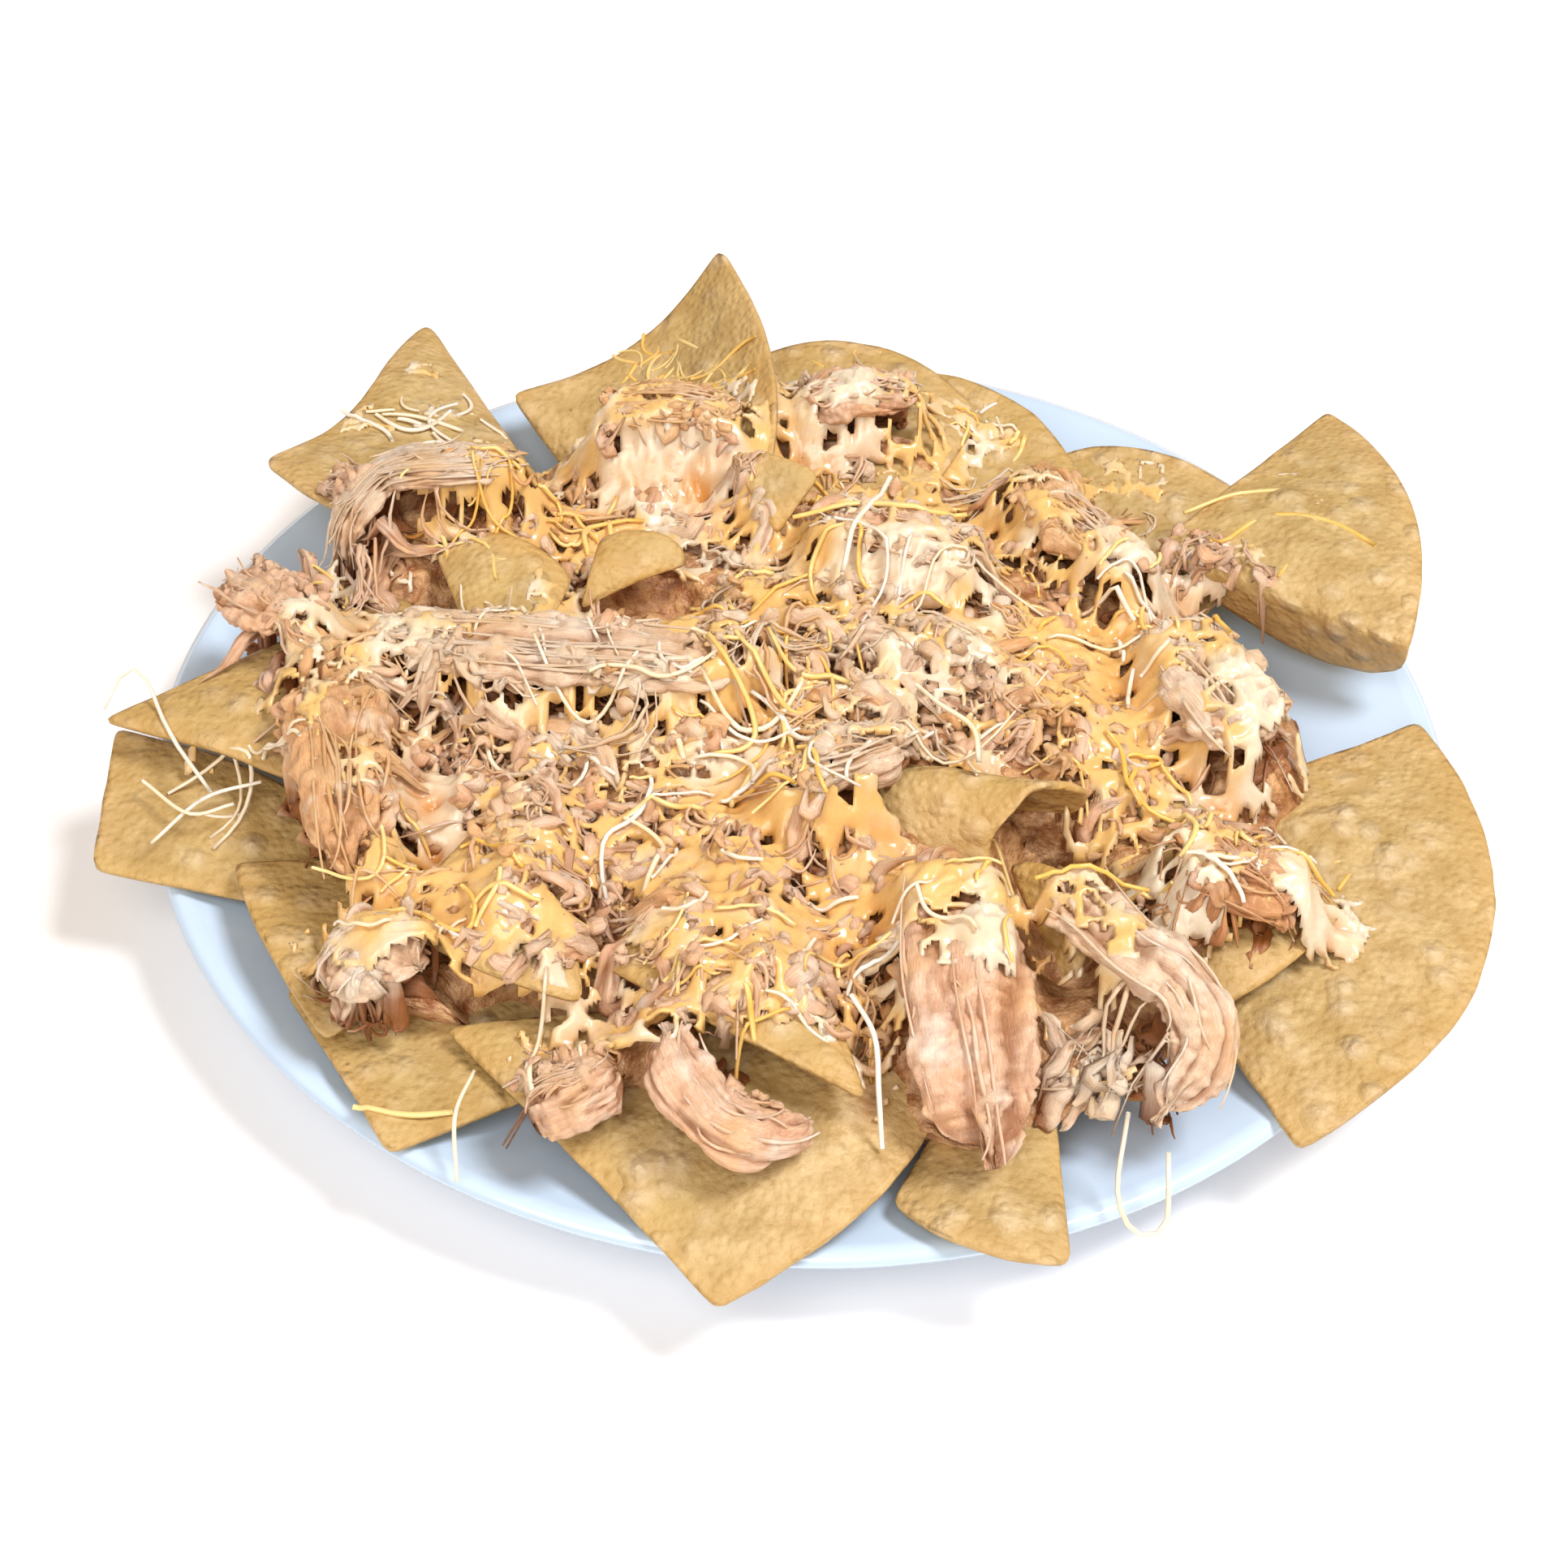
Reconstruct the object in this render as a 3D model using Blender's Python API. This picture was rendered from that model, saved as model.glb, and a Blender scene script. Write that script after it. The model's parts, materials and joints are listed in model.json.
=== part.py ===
"""Plate of nachos: a round plate, tortilla chips, one heap of shredded chicken and melted cheese,
and the large shreds of chicken that lie on the heap. Metres, +Z up, origin under the plate's centre."""

from math import cos, pi, radians, sin, tau

import bmesh
import bpy
import numpy as np
from mathutils import Vector, noise

MM = 0.001

# Plate
PLATE_RADIUS = 125 * MM
PLATE_HEIGHT = 20 * MM
FOOT_RADIUS = 72 * MM
WELL_RADIUS = 80 * MM
FLOOR_TOP = 7 * MM
PLATE_SEGMENTS = 48

# Tortilla chips
CHIP_THICKNESS = 1.8 * MM
BLUNT_TIP = 0.05  # share of a chip's length that its worn tip has lost
FOLD_LEAN = 0.25  # how far a folded side leans in under its chip as it hangs
CHIP_ALONG = 5
CHIP_ACROSS = 6
ROLL_STEPS = 10

# Chicken
SHRED_RINGS = 6
SHRED_SIDES = 7

# Heap of toppings
HEAP_RADIUS = 98 * MM
HEAP_SHIFT = (0.0, -1 * MM)
HEAP_EDGE = 18 * MM
HEAP_TOP = 43 * MM
HEAP_ROUND = 2.8  # the higher, the flatter the top and the steeper the sides
OUTLINE_REACH = 0.2  # share of a large shred's half width by which the heap's outline passes its middle
OUTLINE_SLOPE = 0.8  # how fast the outline draws back beside such a shred
BED_DEPTH = 0.35  # share of a large shred's half height that sinks into the heap
BED_SLOPE = 1.1  # how steeply the heap falls away beside a large shred
HEAP_BOTTOM = 9 * MM
HEAP_RINGS = 11
HEAP_TURNS = 38
HEAP_LUMPS = ((16 * MM, 3.2 * MM), (7 * MM, 1.6 * MM))  # size and height of its lumps
HEAP_CLEARANCE = 1.0 * MM
ROOM_ALONG = 3
ROOM_ACROSS = 4

# Each chip: its point, its two other corners, how far the side between those bulges out, how far the
# sheet bows up across and along, and how far a side that is folded down hangs, all in millimetres.
CHIPS = {
    "chip_back_left": ((-87, 117, 31), (-113, 55, 39), (-53, 52, 33), 22, 3, -1, 0),
    "chip_back_tall": ((-66, 92, 31), (-22, 120, 51), (-24, 25, 26), 18, 5, -8, 0),
    "chip_back": ((6, 20, 28), (36, 86, 34), (-26, 88, 33), 19, 3, 2, 0),
    "chip_back_right": ((4, 34, 19), (58, 66, 29), (9, 104, 28), 13, 3, 1, 0),
    "chip_right_back": ((68, 12, 19), (96, 64, 27), (42, 77, 23), 14, 3, 1, 0),
    "chip_right_fan": ((70, 44, 33), (117, 14, 37), (110, 92, 35), 9, 3, 1, 14),
    "chip_right_big": ((53, -27, 19), (86, -99, 22), (119, 4, 26), 23, 2, 1, 0),
    "chip_right_inner": ((58, -14, 31), (71, -74, 27), (98, -50, 29), 3, 2, 2, 0),
    "chip_front_right": ((43, -60, 22), (17, -113, 21), (46, -125, 22), 5, 2, 1, 0),
    "chip_front": ((-60, -84, 26), (-11, -134, 19), (24, -70, 29), 15, 4, 1, 0),
    "chip_front_upper": ((-8, -40, 36), (-34, -76, 37), (12, -104, 36), 3, 3, 2, 0),
    "chip_front_left": ((-67, -108, 22), (-14, -78, 20), (-90, -72, 21), 10, 1, 1, 0),
    "chip_left_lower": ((-42, -40, 29), (-103, -46, 26), (-80, -88, 27), 2, 2, -1, 0),
    "chip_left_low": ((-129, -46, 23), (-68, -56, 17), (-131, -12, 26), 12, 2, 1, 0),
    "chip_left_point": ((-131, -18, 34), (-72, -40, 32), (-80, 20, 34), 8, 3, 1, 0),
    "chip_middle_left": ((-56, -20, 37), (-46, 18, 42), (-74, 26, 41), 6, 2, 2, 0),
    "chip_middle_upright": ((-44, 9, 42), (-24, 21, 44), (-41, 24, 47), 4, 2, 2, 0),
    "chip_middle_curl": ((-7, 35, 41), (1, 45, 49), (-17, 51, 48), 2, 1, 0, 0),
    "chip_front_left_upper": ((-46, -30, 40), (-70, -68, 36), (-36, -85, 36), 4, 2, 2, 0),
    "chip_middle_inner": ((49, -67, 20), (38, -43, 30), (55, -53, 31), 3, 1, 1, 0),
}

# The rolled chip: the points that its open rim passes through, from the foot of its front leg over the
# top and down behind, and where the rim moves to at the roll's closed end, in millimetres.
ROLL_RIM = [
    (41, -58, 27),
    (37, -50, 33),
    (34, -47, 39),
    (38, -42, 44),
    (44, -38, 46),
    (50, -35, 42),
    (50, -34, 34),
]
ROLL_RUN = (-28, 8, -1)
ROLL_TAPER = 0.85

# Each large shred of chicken: its half width, its half height and the points along its middle, in
# millimetres.
SHREDS = {
    "shred_back_left": (7, 5, [(-59, 44, 50), (-71, 37, 54), (-84, 37, 51), (-91, 29, 45), (-91, 24, 38)]),
    "shred_back": (6, 5, [(-44, 64, 47), (-34, 64, 50), (-23, 64, 50), (-15, 62, 47)]),
    "shred_back_right": (7, 5, [(-3, 73, 44), (7, 76, 47), (21, 77, 45)]),
    "shred_right_upper": (7, 5, [(43, 53, 42), (52, 39, 43), (63, 26, 42)]),
    "shred_middle_right": (7, 5, [(3, 32, 47), (16, 27, 49), (30, 22, 47)]),
    "shred_long_pale": (8, 5, [(-80, -5, 45), (-60, -9, 48), (-38, -11, 49), (-20, -13, 50), (-12, -6, 50)]),
    "shred_far_left": (8, 5, [(-112, 12, 43), (-103, 5, 45), (-94, -1, 45)]),
    "shred_left": (9, 5, [(-91, -13, 44), (-87, -23, 45), (-81, -45, 44), (-77, -62, 39)]),
    "shred_front_left": (7, 5, [(-79, -85, 36), (-72, -79, 40), (-63, -84, 42)]),
    "shred_front_left_pile": (7, 5, [(-43, -106, 32), (-36, -104, 35), (-29, -100, 37)]),
    "shred_front_loop": (
        5,
        4,
        [(-22, -94, 42), (-18, -103, 39), (-11, -110, 36), (-2, -110, 34), (3, -106, 33)],
    ),
    "shred_middle": (5, 4, [(-4, -41, 47), (6, -40, 49), (18, -35, 50)]),
    "shred_front_chunk": (
        10,
        6,
        [(26, -62, 46), (27, -75, 46), (28, -90, 43), (30, -103, 37), (33, -113, 31)],
    ),
    "shred_front_hook": (6, 5, [(45, -61, 46), (55, -76, 46), (65, -82, 43), (68, -92, 37), (60, -103, 32)]),
    "shred_right_melt": (10, 6, [(71, 7, 42), (78, -9, 43), (85, -18, 40)]),
    "shred_right_brown": (8, 5, [(67, -46, 42), (78, -54, 40), (88, -54, 37)]),
}


def to_metres(point):
    return np.array(point, dtype=float) * MM


def material(name, colour, roughness):
    made = bpy.data.materials.new(name)
    made.use_nodes = True
    shader = made.node_tree.nodes["Principled BSDF"]
    shader.inputs["Base Color"].default_value = (*colour, 1.0)
    shader.inputs["Roughness"].default_value = roughness
    return made


def add_object(name, mesh, finish, smooth=True):
    made = bpy.data.objects.new(name, mesh)
    bpy.context.scene.collection.objects.link(made)
    mesh.materials.append(finish)
    if smooth:
        mesh.shade_smooth()
        mesh.set_sharp_from_angle(angle=radians(50))
    return made


def mesh_of(name, points, faces):
    mesh = bpy.data.meshes.new(name)
    mesh.from_pydata([tuple(p) for p in points], [], faces)
    mesh.validate()
    return mesh


def plate_profile():
    """Half section of the plate, from the middle of its well round the rim to the middle of its foot."""
    wall = 4.5 * MM
    return [
        (0, FLOOR_TOP),
        (WELL_RADIUS - 14 * MM, FLOOR_TOP),
        (WELL_RADIUS, FLOOR_TOP + 1.2 * MM),
        (WELL_RADIUS + 12 * MM, FLOOR_TOP + 4.5 * MM),
        (PLATE_RADIUS - 12 * MM, PLATE_HEIGHT - 3 * MM),
        (PLATE_RADIUS - 2 * MM, PLATE_HEIGHT),
        (PLATE_RADIUS, PLATE_HEIGHT - 0.8 * MM),
        (PLATE_RADIUS - 0.6 * MM, PLATE_HEIGHT - 2.6 * MM),
        (PLATE_RADIUS - 13 * MM, PLATE_HEIGHT - 3 * MM - wall),
        (FOOT_RADIUS + 8 * MM, FLOOR_TOP - wall + 1.2 * MM),
        (FOOT_RADIUS + 1.5 * MM, 0),
        (0, 0),
    ]


def plate():
    """The profile turned once round the Z axis."""
    profile = plate_profile()
    body = bmesh.new()
    points = [body.verts.new((r, 0, z)) for r, z in profile]
    edges = [body.edges.new(pair) for pair in zip(points[:-1], points[1:])]
    bmesh.ops.spin(
        body, geom=points + edges, cent=(0, 0, 0), axis=(0, 0, 1), angle=tau, steps=PLATE_SEGMENTS
    )
    bmesh.ops.remove_doubles(body, verts=body.verts, dist=0.01 * MM)
    bmesh.ops.dissolve_degenerate(body, edges=body.edges, dist=0.01 * MM)
    bmesh.ops.recalc_face_normals(body, faces=body.faces)
    mesh = bpy.data.meshes.new("plate")
    body.to_mesh(mesh)
    body.free()
    return add_object("plate", mesh, material("plate_glaze", (0.86, 0.89, 0.94), 0.12))


def sheet_normals(grid):
    """Unit normals of a grid of points, from its two sets of lines."""
    along = np.gradient(grid, axis=0)
    across = np.gradient(grid, axis=1)
    normal = np.cross(along, across)
    return normal / np.linalg.norm(normal, axis=2, keepdims=True)


def shell(name, grid, thickness, finish):
    """A closed sheet: the grid set off to both sides by half its thickness, with a strip round its rim."""
    rows, columns = grid.shape[:2]
    offset = sheet_normals(grid) * thickness / 2
    points = np.concatenate([(grid + offset).reshape(-1, 3), (grid - offset).reshape(-1, 3)])
    below = rows * columns

    def at(i, j):
        return i * columns + j

    faces = []
    for i in range(rows - 1):
        for j in range(columns - 1):
            quad = (at(i, j), at(i + 1, j), at(i + 1, j + 1), at(i, j + 1))
            faces.append(quad)
            faces.append(tuple(below + k for k in reversed(quad)))
    rim = [at(i, 0) for i in range(rows)]
    rim += [at(rows - 1, j) for j in range(1, columns)]
    rim += [at(i, columns - 1) for i in range(rows - 2, -1, -1)]
    rim += [at(0, j) for j in range(columns - 2, 0, -1)]
    for k, first in enumerate(rim):
        second = rim[(k + 1) % len(rim)]
        faces.append((second, first, below + first, below + second))
    return add_object(name, mesh_of(name, points, faces), finish)


def smooth_path(points, count):
    """Points evenly along a Catmull-Rom curve through the given ones."""
    p = np.vstack([2 * points[0] - points[1], points, 2 * points[-1] - points[-2]])
    t = np.linspace(0, len(points) - 1, 12 * count)
    i = np.minimum(t.astype(int), len(points) - 2)
    f = (t - i)[:, None]
    a, b, c, d = p[i], p[i + 1], p[i + 2], p[i + 3]
    bend = (2 * a - 5 * b + 4 * c - d) * f**2 + (3 * b - a - 3 * c + d) * f**3
    curve = b + 0.5 * ((c - a) * f + bend)
    gone = np.concatenate([[0], np.cumsum(np.linalg.norm(np.diff(curve, axis=0), axis=1))])
    even = np.linspace(0, gone[-1], count)
    return np.stack([np.interp(even, gone, curve[:, k]) for k in range(3)], axis=1)


def chip_grid(
    point,
    left,
    right,
    bulge,
    across_bow,
    along_bow,
    fold,
    grow=0.0,
    along=CHIP_ALONG,
    across=CHIP_ACROSS,
):
    """A sector between three corners. Rows run from the point outwards, and columns from one side
    to the other. The outer side is an arc, and two half waves bow the sheet up across and along.
    With a fold, the first two columns hang down from the side between the point and the left corner."""
    apex, left, right = to_metres(point), to_metres(left), to_metres(right)
    middle = (left + right) / 2
    size = np.linalg.norm(middle - apex)
    normal = np.cross(left - apex, right - apex)
    normal *= np.sign(normal[2]) / np.linalg.norm(normal)
    outward = (middle - apex) / size
    tip = max(BLUNT_TIP - grow / size, 0.01)
    u = np.linspace(tip, 1 + grow / size, along + 1)[:, None, None]
    folded = 2 if fold else 0
    side = grow / np.linalg.norm(right - left)
    v = np.linspace(-side, 1 + side, across + 1 - folded)
    v = np.concatenate([np.full(folded, v[0]), v])[None, :, None]
    edge = left + (right - left) * v + outward * bulge * MM * 4 * v * (1 - v)
    flat = apex + (edge - apex) * u
    bow = across_bow * 4 * v * (1 - v) * u + along_bow * 4 * u * (1 - u)
    hang = np.maximum(folded - np.arange(across + 1), 0)[None, :, None] / 2 * fold
    turned_in = np.cross(normal, left - apex)
    turned_in /= np.linalg.norm(turned_in)
    down = np.array((0, 0, -1)) + FOLD_LEAN * turned_in
    return flat + (normal * bow + down * hang * 3 * u * (1.15 - u)) * MM


def roll_grid(grow=0.0):
    """The rim of the rolled chip carried in a straight line to its closed end, where it is smaller."""
    rim = smooth_path(to_metres(ROLL_RIM), ROLL_STEPS)
    ends = np.array([rim[0] - rim[1], rim[-1] - rim[-2]])
    ends /= np.linalg.norm(ends, axis=1, keepdims=True)
    rim[[0, -1]] += ends * grow
    run = to_metres(ROLL_RUN)
    onward = run / np.linalg.norm(run) * grow
    middle = rim.mean(axis=0)
    share = np.linspace(0, 1, 4)[:, None, None]
    smaller = 1 + (ROLL_TAPER - 1) * share
    return middle + (rim[None] - middle) * smaller + (run + 2 * onward) * share - onward


def chips(finish):
    made = [shell(name, chip_grid(*rows), CHIP_THICKNESS, finish) for name, rows in CHIPS.items()]
    made.append(shell("chip_middle_rolled", roll_grid(), CHIP_THICKNESS, finish))
    return made


def shred(name, half_width, half_height, points, finish, grow=0.0):
    """A long lump along a curve: an uneven ellipse carried along it, thinner towards both ends."""
    path = smooth_path(to_metres(points), SHRED_RINGS)
    tangent = np.gradient(path, axis=0)
    tangent /= np.linalg.norm(tangent, axis=1, keepdims=True)
    side = np.cross(tangent, (0, 0, 1))
    side /= np.linalg.norm(side, axis=1, keepdims=True)
    up = np.cross(side, tangent)
    seed = sum(map(ord, name))
    t = np.linspace(0, 1, SHRED_RINGS)
    taper = 0.55 + 0.45 * np.sin(pi * np.clip(t, 0.06, 0.94)) ** 0.6
    angle = np.arange(SHRED_SIDES) * tau / SHRED_SIDES
    uneven = 1 + 0.16 * np.sin(3 * angle[None, :] + seed + 5 * t[:, None]) * np.cos(seed + 7 * t[:, None])
    across = (half_width * MM * taper[:, None] * uneven + grow) * np.cos(angle)
    above = (half_height * MM * taper[:, None] * uneven + grow) * np.sin(angle)
    rings = path[:, None, :] + across[..., None] * side[:, None, :] + above[..., None] * up[:, None, :]
    rings[0] -= tangent[0] * grow
    rings[-1] += tangent[-1] * grow
    faces = []
    for i in range(SHRED_RINGS - 1):
        for j in range(SHRED_SIDES):
            k = (j + 1) % SHRED_SIDES
            a, b = i * SHRED_SIDES, (i + 1) * SHRED_SIDES
            faces.append((a + j, b + j, b + k, a + k))
    faces.append(tuple(range(SHRED_SIDES)))
    faces.append(tuple(SHRED_RINGS * SHRED_SIDES - 1 - j for j in range(SHRED_SIDES)))
    return add_object(name, mesh_of(name, rings.reshape(-1, 3), faces), finish)


def shreds(finish):
    return [shred(name, *row, finish) for name, row in SHREDS.items()]


def heap_outline(angle):
    """Uneven radius of the heap: a sum of slow waves round it, drawn out to every large shred that
    lies beyond them."""
    radius = HEAP_RADIUS * (1 + 0.035 * np.sin(3 * angle + 0.6) + 0.03 * np.sin(5 * angle + 2.1))
    for half_width, _, points in SHREDS.values():
        for point in smooth_path(to_metres(points), SHRED_RINGS):
            x, y = point[0] - HEAP_SHIFT[0], point[1] - HEAP_SHIFT[1]
            reach = np.hypot(x, y)
            turn = np.abs((angle - np.arctan2(y, x) + pi) % tau - pi)
            drawn_out = reach + OUTLINE_REACH * half_width * MM - OUTLINE_SLOPE * reach * turn
            radius = np.maximum(radius, drawn_out)
    return radius


def bedding(x, y):
    """Height that the heap needs at each spot for the large shreds to lie on it: just over the
    underside of a shred, and falling away at one slope beside it. A high shred lifts the heap."""
    height = np.full(x.shape, HEAP_BOTTOM)
    for half_width, half_height, points in SHREDS.values():
        for point in smooth_path(to_metres(points), SHRED_RINGS):
            beside = np.maximum(np.hypot(x - point[0], y - point[1]) - half_width * MM / 2, 0)
            bed = point[2] - BED_DEPTH * half_height * MM - BED_SLOPE * beside
            height = np.maximum(height, bed)
    return height


def heap_dome():
    """The whole heap before the chips are cut out of it: an uneven dome with a flat underside."""
    rings, turns = HEAP_RINGS, HEAP_TURNS
    share = np.linspace(0, 1, rings)[1:, None]
    angle = np.linspace(0, tau, turns, endpoint=False)[None, :]
    radius = share * heap_outline(angle)
    x = HEAP_SHIFT[0] + radius * np.cos(angle)
    y = HEAP_SHIFT[1] + radius * np.sin(angle)
    z = HEAP_EDGE + (HEAP_TOP - HEAP_EDGE) * (1 - share**HEAP_ROUND) ** 0.75
    z = np.maximum(z, bedding(x, y))
    spots = np.stack([x, y, z], axis=2).reshape(-1, 3)
    spots = np.vstack([[HEAP_SHIFT[0], HEAP_SHIFT[1], HEAP_TOP], spots])
    for size, height in HEAP_LUMPS:
        spots[:, 2] += [noise.noise(Vector(p) / size) * height for p in spots]
    under_radius = WELL_RADIUS - 6 * MM
    under = [(under_radius * cos(a), under_radius * sin(a), HEAP_BOTTOM) for a in angle[0]]
    points = np.vstack([spots, under, [(0, 0, HEAP_BOTTOM)]])
    faces = []
    for j in range(turns):
        k = (j + 1) % turns
        faces.append((0, 1 + j, 1 + k))
        for i in range(rings - 1):
            a, b = 1 + i * turns, 1 + (i + 1) * turns
            faces.append((a + j, b + j, b + k, a + k))
        last = 1 + (rings - 1) * turns
        faces.append((last + j, len(points) - 1, last + k))
    return mesh_of("heap", points, faces)


def largest_piece(mesh):
    """Keeps the body with the most vertices and drops any crumb that a cut has parted from it."""
    body = bmesh.new()
    body.from_mesh(mesh)
    left = set(body.verts)
    groups = []
    while left:
        stack = [left.pop()]
        group = set(stack)
        while stack:
            for edge in stack.pop().link_edges:
                for other in edge.verts:
                    if other in left:
                        left.discard(other)
                        group.add(other)
                        stack.append(other)
        groups.append(group)
    keep = max(groups, key=len)
    bmesh.ops.delete(body, geom=[v for v in body.verts if v not in keep], context="VERTS")
    body.to_mesh(mesh)
    body.free()


def hide(cutter):
    cutter.hide_render = True
    cutter.display_type = "WIRE"


def heap(finish):
    """The dome with room cut round every chip and every large shred, as one rough solid."""
    room = CHIP_THICKNESS + 2 * HEAP_CLEARANCE
    cutters = [
        shell("room_" + name, chip_grid(*rows, HEAP_CLEARANCE, ROOM_ALONG, ROOM_ACROSS), room, finish)
        for name, rows in CHIPS.items()
    ]
    cutters.append(shell("room_roll", roll_grid(HEAP_CLEARANCE), room, finish))
    cutters += [
        shred("room_" + name, *row, finish, grow=HEAP_CLEARANCE) for name, row in SHREDS.items()
    ]
    made = add_object("heap", heap_dome(), finish)
    for cutter in cutters:
        hide(cutter)
        cut = made.modifiers.new(cutter.name, "BOOLEAN")
        cut.operation = "DIFFERENCE"
        cut.solver = "MANIFOLD"
        cut.object = cutter
    bpy.context.view_layer.update()
    graph = bpy.context.evaluated_depsgraph_get()
    carved = bpy.data.meshes.new_from_object(made.evaluated_get(graph))
    made.modifiers.clear()
    largest_piece(carved)
    made.data = carved
    return made


def main():
    for old in list(bpy.data.objects):
        bpy.data.objects.remove(old)
    plate()
    chips(material("fried_tortilla", (0.74, 0.52, 0.22), 0.5))
    chicken = material("chicken", (0.76, 0.56, 0.42), 0.55)
    shreds(chicken)
    heap(material("chicken_and_cheese", (0.82, 0.58, 0.33), 0.5))


main()
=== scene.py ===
"""The looks of a plate of nachos: a glazed plate, curved tortilla chips, shredded chicken in bundles of
fibres, and orange and white cheese, partly melted into a web and partly in loose shreds.

Lengths are in millimetres until a mesh is made. The heap's core, the chips and the large shreds stand
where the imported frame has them, and every loose thing is laid on a height map of what lies below it."""

import json
from itertools import product
from math import cos, pi, radians, sin, tau

import bmesh
import bpy
import numpy as np
from mathutils import Matrix, Vector
from mathutils.bvhtree import BVHTree

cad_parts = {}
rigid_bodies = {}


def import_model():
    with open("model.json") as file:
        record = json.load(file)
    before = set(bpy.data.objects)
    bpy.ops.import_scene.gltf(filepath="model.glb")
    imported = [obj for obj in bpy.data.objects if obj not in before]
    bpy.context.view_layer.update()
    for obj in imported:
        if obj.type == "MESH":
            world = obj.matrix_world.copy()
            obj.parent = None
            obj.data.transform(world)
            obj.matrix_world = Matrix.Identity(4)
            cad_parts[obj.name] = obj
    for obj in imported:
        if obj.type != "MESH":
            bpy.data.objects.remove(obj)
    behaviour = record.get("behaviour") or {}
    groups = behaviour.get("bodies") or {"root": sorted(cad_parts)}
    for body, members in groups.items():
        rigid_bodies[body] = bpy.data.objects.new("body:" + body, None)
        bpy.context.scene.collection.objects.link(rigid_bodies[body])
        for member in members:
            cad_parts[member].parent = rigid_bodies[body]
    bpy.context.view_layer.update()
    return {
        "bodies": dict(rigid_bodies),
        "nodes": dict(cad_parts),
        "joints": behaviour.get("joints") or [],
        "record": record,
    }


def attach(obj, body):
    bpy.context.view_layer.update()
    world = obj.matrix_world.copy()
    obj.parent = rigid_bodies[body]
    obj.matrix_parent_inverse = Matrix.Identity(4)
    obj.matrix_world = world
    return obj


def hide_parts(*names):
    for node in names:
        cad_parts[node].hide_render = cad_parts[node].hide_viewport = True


MM = 0.001

# The plate: the sizes that the frame has, its wall, and how many times its section is turned.
PLATE_RADIUS = 125
PLATE_HEIGHT = 20
PLATE_WALL = 4.5
FOOT_RADIUS = 72
WELL_RADIUS = 80
FLOOR_TOP = 7
PLATE_TURNS = 192

# The chips: how thick they are, how far apart the points along an edge, and points in a full outline.
CHIP_THICKNESS = 1.7
CHIP_EDGE_STEP = 1.5
OUTLINE_POINTS = 360
WARP_SEED = 20

# The heap: how far the height map reaches, how deep the core lies under the heap's surface, the level
# at which the places of toppings are given, and the height at which the heap's side ends.
MAP_REACH = 140
CORE_DROP = 3.6
HEAP_LEVEL = 42.0
HEAP_EDGE = 12
CORE_TURNS = 340
CORE_RINGS = 170

# Sight down to the surface starts this far above the heap's level and goes down in these steps.
SIGHT_RISE = 12
SIGHT_STEP = 0.7
SIGHT_STEPS = 70

random = np.random.default_rng(11)


# ---------------------------------------------------------------- shapes as whole arrays


def lattice(cells, seed):
    """A repeatable value from 0 to 1 for each whole-number cell: the fraction of a large sine."""
    wave = np.sin(cells @ np.array([127.1, 311.7, 74.7]) + seed * 17.31) * 43758.5453
    return wave - np.floor(wave)


def one_each(count, row, seed):
    """A repeatable value from 0 to 1 for each of many strands."""
    return lattice(np.stack([np.arange(count), np.full(count, row), np.zeros(count)], axis=1), seed)


def noise(points, size, seed=0):
    """Smooth noise from -1 to 1: values at the corners of cells of this size, blended by a smooth step."""
    place = np.asarray(points) / size
    cell = np.floor(place)
    share = place - cell
    share = share * share * (3 - 2 * share)
    total = 0.0
    for corner in product((0, 1), repeat=3):
        weight = np.prod(np.where(corner, share, 1 - share), axis=-1)
        total = total + weight * lattice(cell + corner, seed)
    return 2 * total - 1


def unit(vectors):
    """The vectors at length one."""
    return vectors / np.maximum(np.linalg.norm(vectors, axis=-1, keepdims=True), 1e-9)


def smooth_path(points, count):
    """Points evenly along a Catmull-Rom curve through the given ones."""
    points = np.array(points, dtype=float)
    p = np.vstack([2 * points[0] - points[1], points, 2 * points[-1] - points[-2]])
    t = np.linspace(0, len(points) - 1, 12 * count)
    i = np.minimum(t.astype(int), len(points) - 2)
    f = (t - i)[:, None]
    a, b, c, d = p[i], p[i + 1], p[i + 2], p[i + 3]
    bend = (2 * a - 5 * b + 4 * c - d) * f**2 + (3 * b - a - 3 * c + d) * f**3
    curve = b + 0.5 * ((c - a) * f + bend)
    gone = np.concatenate([[0], np.cumsum(np.linalg.norm(np.diff(curve, axis=0), axis=1))])
    even = np.linspace(0, gone[-1], count)
    return np.stack([np.interp(even, gone, curve[:, k]) for k in range(points.shape[1])], axis=1)


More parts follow.
